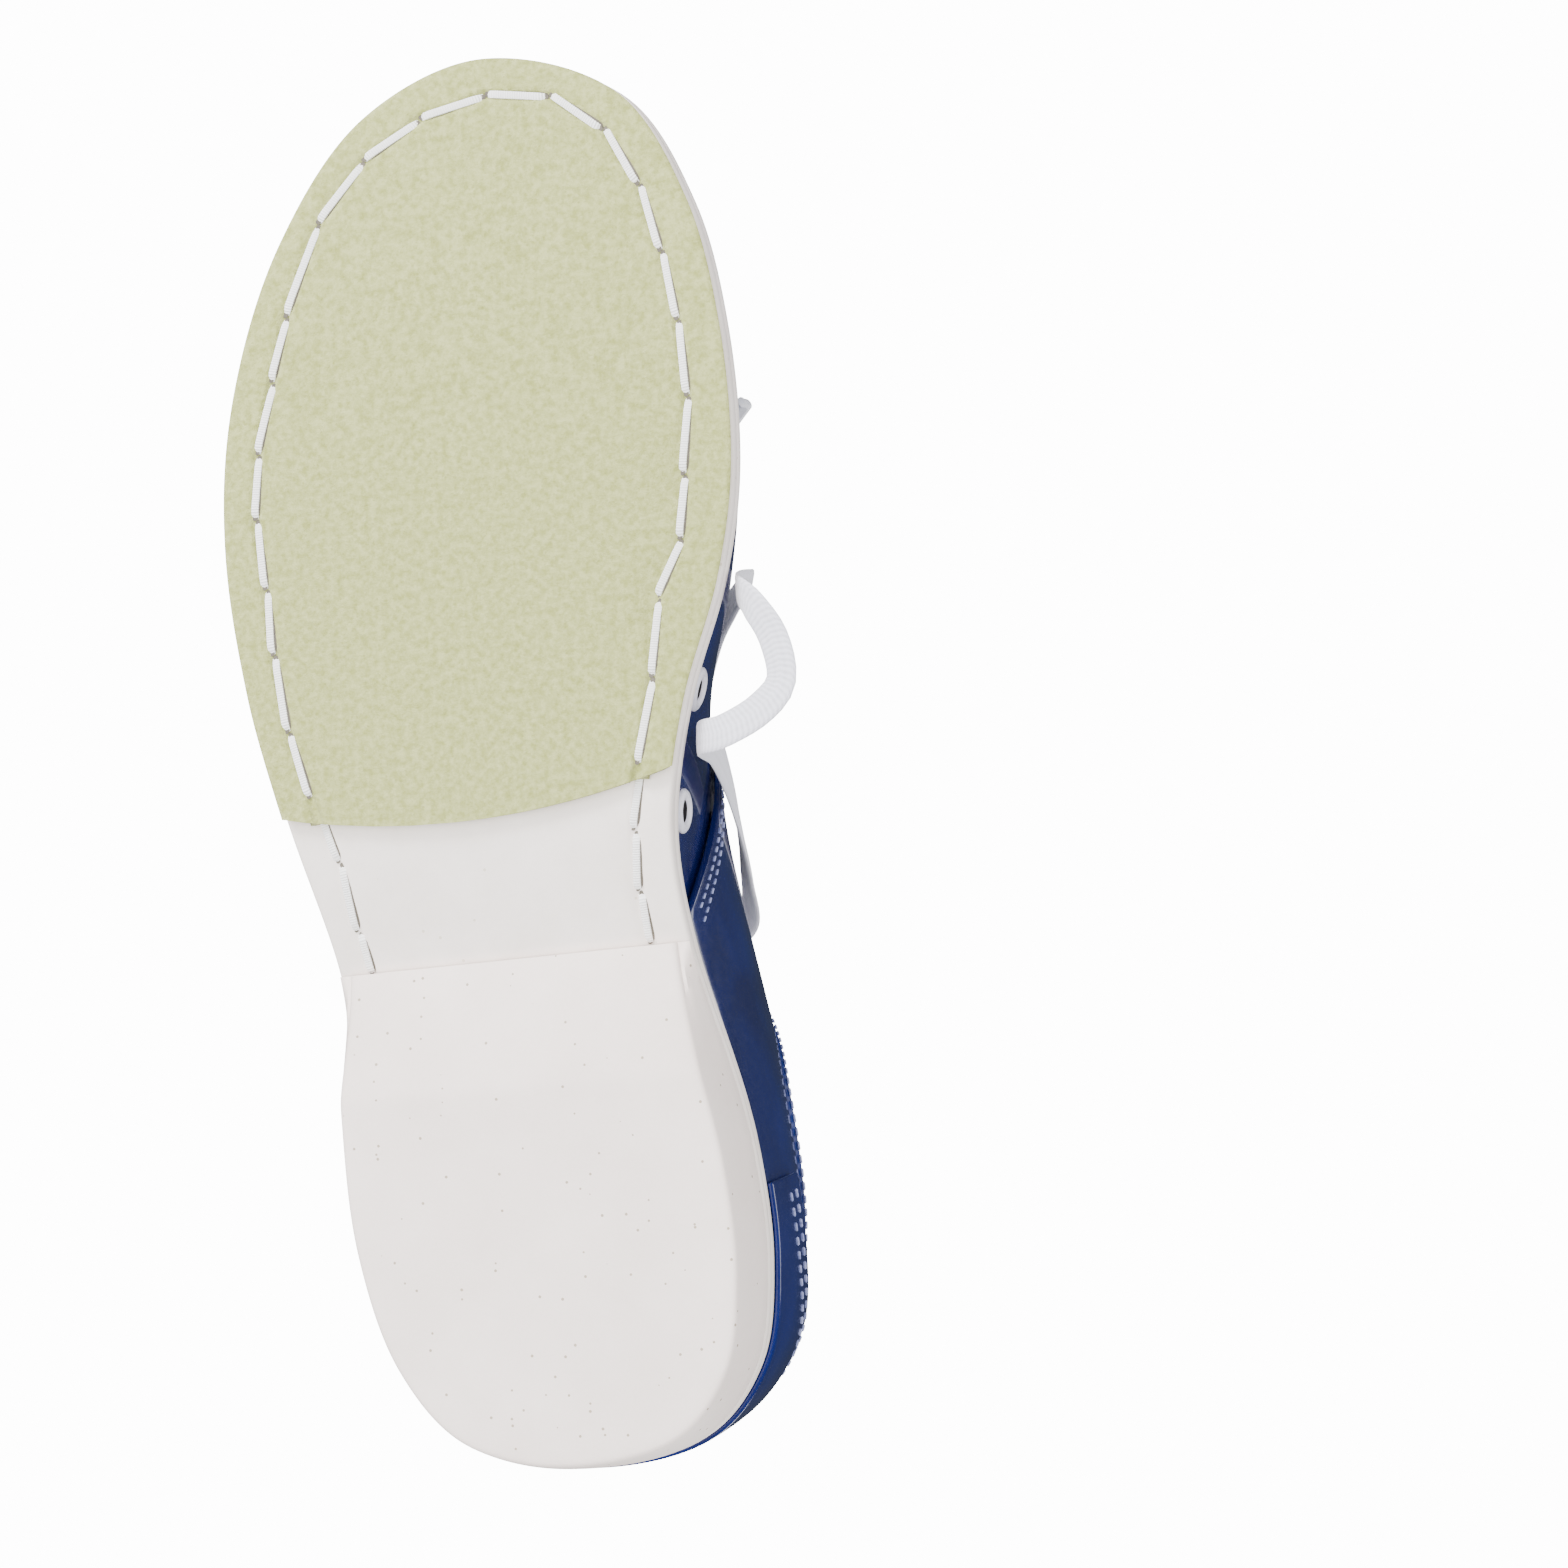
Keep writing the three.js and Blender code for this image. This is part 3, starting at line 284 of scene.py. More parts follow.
lateral_loop_stops = [
    (-5.8, 44, 116, -.33, 0, .94), (-13, 41, 115, -.54, -.05, .84), (-24.3, 35, 103.3, -.71, -.21, .68),
    (-31, 24.1, 85.9, -.85, -.08, .52), (-38.8, 10.4, 66.8, -.92, .05, .38), (-45.6, -3.5, 50.2, -.95, .12, .28),
    (-47.8, -14.4, 43.2, -.96, .09, .26), (-47, -23.1, 45.8, -.93, .02, .36), (-42.9, -25.7, 55.5, -.84, -.09, .53),
    (-35.9, -18.8, 68, -.71, -.21, .67), (-30.2, -4.8, 83.3, -.62, -.26, .74), (-24, 9.7, 95, -.56, -.29, .77),
    (-17.6, 21.9, 103.2, -.47, -.33, .82), (-11.8, 33, 108.5, -.5, -.19, .85), (-6.2, 39.2, 110.2, -.34, -.09, .93)]
medial_end_stops = [
    (7.6, 35.8, 114, .18, -.16, .97), (8.8, 28.3, 110.8, .19, -.42, .89), (8.8, 14.7, 103.5, .21, -.44, .88),
    (9.2, 1, 96.3, .21, -.44, .87), (11.2, -11.3, 90.2, .22, -.43, .87), (14, -22.4, 81.8, .25, -.4, .88),
    (17.1, -33.9, 72.2, .27, -.38, .88), (21.4, -44.6, 63.2, .32, -.34, .88), (27.8, -54.5, 56.5, .42, -.28, .86),
    (34.6, -62.3, 50.5, .55, -.22, .8), (39.7, -66.8, 46.4, .65, -.18, .73)]
lateral_end_stops = [
    (-1.6, 35.8, 114, -.18, -.16, .97), (-3.5, 28, 111.2, -.1, -.41, .91), (-4.2, 15.8, 104.7, -.09, -.44, .9),
    (-7.1, .6, 97.1, -.12, -.45, .89), (-12.7, -13.1, 89.9, -.19, -.44, .88), (-22.1, -23.4, 77.8, -.36, -.39, .85),
    (-32.6, -31.6, 65.1, -.58, -.28, .76), (-42.1, -36.5, 52, -.79, -.15, .59), (-48.5, -39.1, 40, -.92, -.04, .39),
    (-51.8, -40.4, 31.2, -.97, .01, .24)]

# Aglets: clear plastic tape wound tight on the lace's end, 13 mm long, pinched along it.
aglet_length = 13.0
aglet_radius = 1.75
aglet_finish, tree = blank_finish("aglet_film")
here = put(tree, "TexCoord")
threads = put(tree, "TexNoise", {"Vector": here.outputs["Object"], "Scale": 700.0, "Detail": 3.0})
film = put(tree, "Mix", {0: threads.outputs[0], 6: linear(205, 208, 222), 7: linear(246, 246, 250)}, data_type="RGBA")
ripple = put(tree, "Bump", {"Height": threads.outputs[0], "Strength": 0.25, "Distance": 0.0002})
shine = put(tree, "BsdfPrincipled", {"Base Color": film.outputs[2], "Roughness": 0.18, "Coat Weight": 0.7,
                                     "Coat Roughness": 0.08, "Normal": ripple.outputs[0]})
put(tree, "OutputMaterial", {"Surface": shine.outputs[0]})


def aglet(name, tip, along):
    """A pinched tube that starts at tip and runs along; both are in millimetres."""
    bpy.ops.mesh.primitive_cylinder_add(vertices=20, radius=aglet_radius * MM, depth=aglet_length * MM)
    tube = bpy.context.object
    tube.name = name
    tube.data.name = name
    bpy.ops.object.mode_set(mode="EDIT")
    mesh = bmesh.from_edit_mesh(tube.data)
    for end, taper in ((1, 0.82), (-1, 0.9)):
        bpy.ops.mesh.select_all(action="DESELECT")
        bpy.ops.mesh.select_mode(type="FACE")
        for face in mesh.faces:
            face.select = face.normal.z * end > 0.9
        bmesh.update_edit_mesh(tube.data)
        bpy.ops.mesh.inset(thickness=0.25 * MM)
        bpy.ops.transform.translate(value=(0, 0, 0.3 * MM * end))
        bpy.ops.transform.resize(value=(taper, taper, 1))
        mesh = bmesh.from_edit_mesh(tube.data)
    bpy.ops.mesh.select_all(action="SELECT")
    bpy.ops.mesh.bisect(plane_co=(0, 0, 0), plane_no=(0, 1, 0))
    bpy.ops.object.mode_set(mode="OBJECT")
    for vertex in tube.data.vertices:
        pinch = 1 - 0.22 * math.exp(-((vertex.co.y / (0.5 * MM)) ** 2))
        vertex.co.x *= pinch
    aim = Vector((0, 0, 1)).rotation_difference(Vector(along))
    middle = Vector(tip) * MM + Vector(along) * (aglet_length / 2 + 0.35) * MM
    tube.data.transform(Matrix.Translation(middle) @ aim.to_matrix().to_4x4())
    tube.data.materials.append(aglet_finish)
    bpy.ops.object.shade_smooth_by_angle(angle=math.radians(40))
    fitted(tube, "shoe", "aglet")
    return tube


for side, loop_stops, end_stops in (("medial", medial_loop_stops, medial_end_stops),
                                    ("lateral", lateral_loop_stops, lateral_end_stops)):
    for part, stops in (("loop", loop_stops), ("end", end_stops)):
        flat = [(*stop, lace_width, lace_thickness) for stop in stops]
        band, line, length = lace_band(f"lace_{part}_{side}_woven", flat)
        band.data.materials.append(lace_finish)
        fitted(band, "shoe", "lace", f"lace_{part}_{side}")
        tag = []
        if part == "end":
            tip, last = line[-1] / MM, (line[-1] - line[-2]) / np.linalg.norm(line[-1] - line[-2])
            tag = [aglet(f"aglet_{side}_tube", tip, last)]
            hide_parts(f"lace_aglet_{side}")

# ---------------------------------------------------------------------------
# The last. All parts of the shoe follow the outline of its sole and the surface
# of the wooden last it is made on: q runs from the lateral toe (-1) by the heel
# (0) to the medial toe (1), and v from the sole (0) to the ridge of the last (1).
sole_length = 292.0
heel_y = sole_length / 2
heel_centre, toe_centre = -1.0, -4.0
lateral_points = [(0, heel_centre), (.02, -23.65), (.075, -37.37), (.16, -45.17), (.26, -47.3), (.36, -46.6),
                  (.56, -60.04),
                  (.67, -63.2), (.77, -60.04), (.88, -48.66), (.965, -30.02), (1, toe_centre)]
medial_points = [(0, heel_centre), (.02, 25.17), (.07, 37.15), (.14, 40.6), (.22, 38.98), (.37, 29.78), (.455, 28.5),
                 (.54, 33.06), (.623, 41.5), (.7, 45.6), (.8, 44.46), (.89, 38.3), (.968, 24.17), (1, toe_centre)]


def half_outline(points):
    """One side of the sole's outline as station and x, by even arc length from heel to toe."""
    points = np.array([(station * sole_length, x, 0.0) for station, x in points])
    points = np.vstack([[points[1][0], 2 * points[0][1] - points[1][1], 0], points,
                        [points[-2][0], 2 * points[-1][1] - points[-2][1], 0]])
    fine, run = spline(points, 40)
    return run / run[-1], fine[:, 0], fine[:, 1]


lateral_half = half_outline(lateral_points)
medial_half = half_outline(medial_points)
centre_x = -(lateral_half[2].min() + medial_half[2].max()) / 2


def smooth(s):
    s = np.clip(s, 0, 1)
    return s * s * (3 - 2 * s)


def bell(s):
    return np.exp(-s * s)


def edge_point(q):
    q = np.where(q > 1, q - 2, np.where(q < -1, q + 2, q))
    t = np.abs(q)
    stations = np.where(q < 0, np.interp(t, *lateral_half[:2]), np.interp(t, *medial_half[:2]))
    widths = np.where(q < 0, np.interp(t, lateral_half[0], lateral_half[2]),
                      np.interp(t, medial_half[0], medial_half[2]))
    return stations, widths


def outline(q, inset):
    """Station and x of the sole's outline at q, moved in by inset."""
    q = np.asarray(q, float)
    station, x = edge_point(q)
    (a1, x1), (a0, x0) = edge_point(q + 0.004), edge_point(q - 0.004)
    size = np.hypot(a1 - a0, x1 - x0)
    return station + (x1 - x0) / size * inset, x - (a1 - a0) / size * inset


def mean_station(t):
    return (edge_point(t)[0] + edge_point(-t)[0]) / 2


table_t = np.linspace(0, 1, 2001)
table_station = mean_station(table_t)


def t_at_station(station):
    return np.interp(station, table_station, table_t)


def place(station, x, z):
    return np.stack(np.broadcast_arrays(x + centre_x, heel_y - station, z), axis=-1)


def spring(station):
    return 7 * np.maximum(0, (station - 200) / 92) ** 2


def outsole_bottom(station):
    return 2.5 + spring(station) + 14.5 * smooth((140 - station) / 68)


def outsole_top(station):
    return outsole_bottom(station) + 5 + 1.5 * smooth((station - 80) / 70)


def ridge(t):
    station = np.clip(mean_station(t), 36, 258)
    x = -5 - 3 * bell((station - 150) / 50) + 2 * smooth((90 - station) / 50)
    return station, x, 48 + 75 * smooth((258 - station) / 218)


def last_surface(q, v):
    """A point of the last in millimetres."""
    q, v = np.broadcast_arrays(np.asarray(q, float), np.asarray(v, float))
    wrapped = np.where(q > 1, q - 2, np.where(q < -1, q + 2, q))
    foot_station, _ = outline(q, 2.5)
    top_station, top_x, top_z = ridge(np.abs(wrapped))
    angle = np.clip(v, 0, 1) * math.pi / 2
    inward = 1 - np.cos(angle) ** (2 / 2.35)
    low = outsole_top(foot_station) + 0.3
    high = np.sin(angle) ** (2 / 2.35) * (top_z - low)
    bulge = np.sin(2 * angle) * (4.5 * np.where(wrapped > 0, 1,
                                                0.35) * bell((foot_station - 112) / 42) * smooth(foot_station / 60)
                                 + 0.9 * bell(foot_station / 60))
    bulge = bulge - 5 * bell(foot_station / 75) * smooth((high - 25) / 45)
    edge_station, edge_x = outline(q, 2.5 - bulge)
    return place(edge_station + (top_station - edge_station) * inward, edge_x + (top_x - edge_x) * inward, low + high)


def last_normal(q, v, mirrored=False):
    """The way out of the last at q and v, the same from both sides at its ridge."""
    q, v = np.broadcast_arrays(np.asarray(q, float), np.asarray(v, float))
    v = np.minimum(v, 0.992)
    along = last_surface(q + 0.004, v) - last_surface(q - 0.004, v)
    up = last_surface(q, np.minimum(1, v + 0.004)) - last_surface(q, np.maximum(0, v - 0.004))
    normal = np.cross(up, along)
    normal = normal / np.maximum(1e-9, np.linalg.norm(normal, axis=-1, keepdims=True))
    if not mirrored:
        other = last_normal(-q, v, mirrored=True)
        share = (np.clip((v - 0.93) / 0.062, 0, 1) / 2)[..., None]
        normal = normal * (1 - share) + other * share
        normal = normal / np.linalg.norm(normal, axis=-1, keepdims=True)
    return normal


def skin(q, v, depth):
    """A point at a depth over (or under) the last, kept clear of the sole."""
    point = last_surface(q, v) + last_normal(q, v) * np.asarray(depth, float)[..., None]
    point[..., 2] = np.maximum(point[..., 2], outsole_top(heel_y - point[..., 1]) + 0.35)
    return point


def rising_root(rising, target, shape):
    low, high = np.zeros(shape), np.ones(shape)
    for _ in range(26):
        middle = (low + high) / 2
        over = rising(middle) > target
        high = np.where(over, middle, high)
        low = np.where(over, low, middle)
    return (low + high) / 2


def top_line(q):
    """v at the open top edge: beside the throat in front, and round the ankle behind."""
    q = np.asarray(q, float)
    t = np.abs(np.where(q > 1, q - 2, np.where(q < -1, q + 2, q)))
    station = mean_station(t)
    front_z = ridge(t_at_station(102.0))[2]
    height = 80 - 14 * smooth(station / 66) + (front_z - 66) * smooth((station - 66) / 36) ** 1.5
    by_height = rising_root(lambda v: last_surface(q, v)[..., 2], height, q.shape)
    gap = 7 + 6 * np.clip((178 - station) / 76, 0, 1)
    ridge_x = ridge(t)[1] + centre_x
    by_gap = rising_root(lambda v: -np.abs(last_surface(q, v)[..., 0] - ridge_x), -gap, q.shape)
    return np.minimum(by_height, np.where(station > 66, by_gap, 1))


def v_below(q, v, distance):
    """v at a distance in millimetres down the last from v."""
    q, v = np.broadcast_arrays(np.asarray(q, float), np.asarray(v, float))
    step = np.linalg.norm(last_surface(q, v) - last_surface(q, v - 0.02), axis=-1)
    return v - distance * 0.02 / step

# ---------------------------------------------------------------------------
# Outsole. Pale moulded rubber, 5 to 6.5 mm thick, whose sides show all round the
# shoe; it lies bare at the waist, with the sole stitching in a channel there.
lateral_stitch_nodes = [(260.3, -40.3), (241.4, -47.7), (228.1, -51.2), (213.3, -54.9), (199.9, -56.1),
                        (185.4, -54.7), (171.8, -53.7), (155.6, -51.4), (141.9, -47.4), (128.2, -43.1),
                        (113.6, -41.1), (104.8, -39.2)]
medial_stitch_nodes = [(284.3, -3.7), (283, 9.9), (275.2, 21.4), (263, 28.7), (248.9, 32.9), (234.6, 35.8),
                       (219, 37.3), (203.1, 35.8), (190.2, 34.4), (178.6, 28.8), (162.6, 26.8), (145.1, 22.8),
                       (131.8, 20.6), (119.4, 20.3), (108.5, 21.4)]
spine_x = -5.0
toe_stitch_nodes = [(284.3, -3.7), (280.4, -18.0), (272.6, -30.2), (260.3, -40.3)]
stitch_line = np.array(lateral_stitch_nodes[::-1] + toe_stitch_nodes[::-1][1:-1] + medial_stitch_nodes)


def channel(station, x, depth, half_width):
    """How deep the stitching channel is at a place: depth on the stitch line, none beside it."""
    nearest = np.full(np.shape(station), 1e9)
    for (a0, x0), (a1, x1) in zip(stitch_line, stitch_line[1:]):
        run = (a1 - a0) ** 2 + (x1 - x0) ** 2
        s = np.clip(((station - a0) * (a1 - a0) + (x - x0) * (x1 - x0)) / run, 0, 1)
        nearest = np.minimum(nearest, np.hypot(station - a0 - s * (a1 - a0), x - x0 - s * (x1 - x0)))
    return depth * np.maximum(0, 1 - (nearest / half_width) ** 2)


def sole_rows(turns, insets, spine_range, joint=None):
    """Station and x of a sole layer's points: a row for each inset from the edge, then rows in to the spine.

    turns are the q of the columns; joint gives the station of a straight end, where the outer columns stop."""
    stations, widths = [], []
    for inset in insets:
        if joint is None:
            station, x = outline(turns, inset)
        else:
            ends = []
            for end in (turns[0], turns[-1]):
                side = 1.0 if end > 0 or end < -1 else -1.0
                t = np.linspace(0.05, 0.9, 3000)
                s, w = outline(side * t, inset)
                ends.append(side * t[np.argmin(np.abs(s - joint(w)))])
            by_toe = turns[-1] < -1
            span = np.linspace(0, 1, len(turns))
            start, stop = (ends[0], -2 + ends[1]) if by_toe else (ends[0], ends[1])
            station, x = outline(start + (stop - start) * span, inset)
        stations.append(station)
        widths.append(x)
    edge_station, edge_x = stations[-1].copy(), widths[-1].copy()
    spine_station = np.clip(edge_station, *spine_range)
    if joint is not None:
        spine_station[[0, -1]] = joint(spine_x)
    for s in (0.2, 0.42, 0.66, 0.85, 1.0):
        station = edge_station + (spine_station - edge_station) * s
        x = edge_x + (spine_x - edge_x) * s
        if joint is not None:
            for end in (0, -1):
                station[end] = joint(x[end])
        stations.append(station)
        widths.append(x)
    return np.array(stations), np.array(widths)


rubber_insets = [0.0, 0.12, 0.4, 0.9, 2.0, 4.0, 6.0, 6.8, 7.4, 7.9, 8.4, 8.9, 9.6, 12.0]
turns = np.linspace(-1, 1, 361)
stations, widths = sole_rows(turns, rubber_insets, (34, 258))
edge_drop = np.array([0.9, 0.45, 0.12, 0.0] + [0.0] * (len(stations) - 4))[:, None]
under = outsole_bottom(stations) + edge_drop + channel(stations, widths, 0.8, 1.3)
over = outsole_top(stations) - edge_drop * 0.6
wall_insets = [(0.0, 0.30), (0.02, 0.44), (0.30, 0.485), (0.30, 0.515), (0.02, 0.56), (0.0, 0.75)]
wall = []
for inset, level in wall_insets:
    station, x = outline(turns, inset)
    wall.append(place(station, x, outsole_bottom(station) * (1 - level) + outsole_top(station) * level))
rows = np.concatenate([place(stations, widths, under)[::-1], np.array(wall), place(stations, widths, over)])
outsole = grid_mesh("outsole_rubber", rows, wrapped=True)
in_edit_mode(outwards)
bpy.ops.object.shade_smooth_by_angle(angle=math.radians(50))


def speckle_group():
    """Soft blotches, fine grain and rare dark specks, from a place on the piece."""
    group = bpy.data.node_groups.new("blotch_grain_specks", "ShaderNodeTree")
    for name, kind in (("Vector", "NodeSocketVector"), ("Blotch Scale", "NodeSocketFloat"),
                       ("Grain Scale", "NodeSocketFloat"),
                       ("Speck Scale", "NodeSocketFloat"), ("Speck Size", "NodeSocketFloat")):
        group.interface.new_socket(name=name, in_out="INPUT", socket_type=kind)
    for name in ("Blotch", "Grain", "Specks"):
        group.interface.new_socket(name=name, in_out="OUTPUT", socket_type="NodeSocketFloat")
    given = group.nodes.new("NodeGroupInput")
    out = group.nodes.new("NodeGroupOutput")
    blotch = put(group, "TexNoise", {"Vector": given.outputs[0], "Scale": given.outputs[1], "Detail": 5.0,
                                     "Roughness": 0.6})
    spread = put(group, "MapRange", {0: blotch.outputs[0], 1: 0.35, 2: 0.65})
    grain = put(group, "TexNoise", {"Vector": given.outputs[0], "Scale": given.outputs[2], "Detail": 3.0,
                                    "Roughness": 0.7})
    cells = put(group, "TexVoronoi", {"Vector": given.outputs[0], "Scale": given.outputs[3]})
    speck = put(group, "Math", {0: cells.outputs["Distance"], 1: given.outputs[4]}, operation="LESS_THAN")
    chance = put(group, "SeparateColor", {0: cells.outputs["Color"]})
    rare = put(group, "Math", {0: chance.outputs[0], 1: 0.3}, operation="LESS_THAN")
    both = put(group, "Math", {0: speck.outputs[0], 1: rare.outputs[0]}, operation="MULTIPLY")
    group.links.new(spread.outputs[0], out.inputs[0])
    group.links.new(grain.outputs[0], out.inputs[1])
    group.links.new(both.outputs[0], out.inputs[2])
    return group


blotch_grain_specks = speckle_group()


def surfaced(name, light, dark, stain, blotch=40.0, grain=1500.0, speck=220.0, speck_size=0.1, roughness=(0.5, 0.65),
             bump=0.15, bump_depth=0.0001, stain_amount=0.5, **principled):
    """A moulded or napped finish: two tones in soft blotches, grain in its bump, and specks of a stain colour."""
    finish, tree = blank_finish(name)
    here = put(tree, "TexCoord")
    marks = tree.nodes.new("ShaderNodeGroup")
    marks.node_tree = blotch_grain_specks
    tree.links.new(here.outputs["Object"], marks.inputs[0])
    for socket, value in zip(("Blotch Scale", "Grain Scale", "Speck Scale", "Speck Size"),
                             (blotch, grain, speck, speck_size)):
        marks.inputs[socket].default_value = value
    blend = put(tree, "Math", {0: marks.outputs[1], 1: 0.9, 2: marks.outputs[0]}, operation="MULTIPLY_ADD")
    level = put(tree, "MapRange", {0: blend.outputs[0], 1: 0.25, 2: 1.45})
    tone = put(tree, "Mix", {0: level.outputs[0], 6: dark, 7: light}, data_type="RGBA")
    weight = put(tree, "Math", {0: marks.outputs[2], 1: stain_amount}, operation="MULTIPLY")
    marked = put(tree, "Mix", {0: weight.outputs[0], 6: tone.outputs[2], 7: stain}, data_type="RGBA")
    rough = put(tree, "MapRange", {0: marks.outputs[1], 3: roughness[0], 4: roughness[1]})
    relief = put(tree, "Bump", {"Height": marks.outputs[1], "Strength": bump, "Distance": bump_depth})
    body = put(tree, "BsdfPrincipled", {"Base Color": marked.outputs[2], "Roughness": rough.outputs[0],
                                        "Normal": relief.outputs[0]})
    for socket, value in principled.items():
        body.inputs[socket.replace("_", " ")].default_value = value
    put(tree, "OutputMaterial", {"Surface": body.outputs[0]})
    return finish


rubber_finish = surfaced("outsole_rubber", linear(249, 240, 234), linear(238, 228, 221), linear(190, 178, 150),
                         blotch=55.0, grain=1200.0, speck=260.0, speck_size=0.09, roughness=(0.5, 0.7),
                         bump=0.2, bump_depth=0.00012)
outsole.data.materials.append(rubber_finish)
fitted(outsole, "shoe", "outsole", "outsole")

# ---------------------------------------------------------------------------
# Slide pad. A sheet of suede-like microfibre, 2.2 mm thick, glued under the
# forepart and sewn on; its nap is brushed and it ends in a cut edge at the waist.
pad_turns = np.linspace(-0.47, -1.53, 401)
pad_insets = [0.0, 0.25, 0.8, 2.0, 3.5, 5.0, 5.8, 6.3, 6.7, 7.05, 7.4, 7.75, 8.1, 8.45, 8.8, 9.2, 9.7, 10.4, 12.0]


def pad_joint(x):
    return 135.2 + 9.4 * ((x + 25) / 55) ** 2


stations, widths = sole_rows(pad_turns, pad_insets, (float(pad_joint(spine_x)), 254), joint=pad_joint)
low = spring(stations) + channel(stations, widths, 1.0, 1.15)
low[0] += 0.35
low[1] += 0.08
pad = grid_mesh("slide_pad_suede", place(stations, widths, low), wrapped=True)


def apply_modifier(piece, kind, **settings):
    modifier = piece.modifiers.new(kind.title(), kind)
    for key, value in settings.items():
        setattr(modifier, key, value)
    bpy.context.view_layer.objects.active = piece
    bpy.ops.object.modifier_apply(modifier=modifier.name)


def facing_check(piece, down):
    """Turns an open sheet so that its faces look down, or up."""
    lean = sum(face.normal.z * face.area for face in piece.data.polygons)
    if (lean < 0) != down:
        in_edit_mode((bpy.ops.mesh.flip_normals, {}))


facing_check(pad, down=True)
apply_modifier(pad, "SOLIDIFY", thickness=2.15 * MM, offset=-1.0)
bpy.ops.object.shade_smooth_by_angle(angle=math.radians(50))
suede_finish = surfaced("slide_pad_suede", linear(178, 181, 122), linear(142, 147, 78), linear(128, 130, 68),
                        blotch=620.0, grain=1500.0, speck=900.0, speck_size=0.25, roughness=(0.9, 1.0),
                        bump=0.8, bump_depth=0.0004, stain_amount=0.3, Sheen_Weight=0.1, Sheen_Roughness=0.6)
pad.data.materials.append(suede_finish)
fitted(pad, "shoe", "slide_pad", "slide_pad")

# ---------------------------------------------------------------------------
# Sole stitching. Thick waxed white thread in a lockstitch, a stitch of 10 to 20 mm
# between two awl holes, sunk in the channel of the pad and of the bare waist. The
# holes' mouths are dark cones of painted shade, and a thin dark sliver beside each
# stitch is painted shade of its channel; cones and slivers are a piece of their own.
thread_radius = 0.86
hole_radius = 0.55
thread_finish, tree = blank_finish("sole_thread_white")
where = put(tree, "UVMap")
split = put(tree, "SeparateXYZ", {0: where.outputs[0]})
turned = put(tree, "Math", {0: split.outputs[0], 1: 2.0, 2: split.outputs[1]}, operation="MULTIPLY_ADD")
wound = put(tree, "Math", {0: turned.outputs[0], 1: 2 * math.pi}, operation="MULTIPLY")
ply = put(tree, "Math", {0: wound.outputs[0]}, operation="SINE")
ply_shade = put(tree, "MapRange", {0: ply.outputs[0], 1: -1.0, 2: 1.0})
ply_tone = put(tree, "Mix", {0: ply_shade.outputs[0], 6: linear(240, 238, 236), 7: linear(255, 255, 255)},
               data_type="RGBA")
ply_bump = put(tree, "Bump", {"Height": ply_shade.outputs[0], "Strength": 0.6, "Distance": 0.0002})
waxed = put(tree, "BsdfPrincipled", {"Base Color": ply_tone.outputs[2], "Roughness": 0.5,
                                     "Normal": ply_bump.outputs[0]})
put(tree, "OutputMaterial", {"Surface": waxed.outputs[0]})
# The dark finish of the hole cones and of the slivers beside the stitches is painted shade.
stitch_shade_finish = surfaced("stitch_painted_shade", linear(112, 106, 96), linear(82, 77, 68), linear(56, 52, 44),
                       roughness=(0.9, 1.0))


def joined(name, parts):
    """One piece from several copies."""
    bpy.ops.object.select_all(action="DESELECT")
    for part in parts:
        part.select_set(True)
    bpy.context.view_layer.objects.active = parts[0]
    bpy.ops.object.join()
    piece = bpy.context.object
    piece.name = name
    piece.data.name = name
    bpy.ops.object.transform_apply(location=True, rotation=True, scale=True)
    return piece


def sunk_stitch(start, end, lift, low):
    """A stitch between two places on the sole, whose ends dive into their holes."""
    (a0, x0), (a1, x1) = start, end
    length = math.hypot(a1 - a0, x1 - x0)
    shape = [(0.0, 1.6), (0.05, 0.55), (0.12, 0.1), (0.3, 0.0), (0.5, -0.03), (0.7, 0.0), (0.88, 0.1), (0.95, 0.55),
             (1.0, 1.6)]
    stops = []
    for s, dive in shape:
        station, x = a0 + (a1 - a0) * s, x0 + (x1 - x0) * s
        point = place(np.array(station), np.array(x), np.array(low(station) + lift + dive))
        stops.append((*point, 0.0, 0.0, 1.0, 2 * thread_radius, 2 * thread_radius))
    band, _, _ = lace_band("stitch", stops, step=length / 16, around=8)
    return band


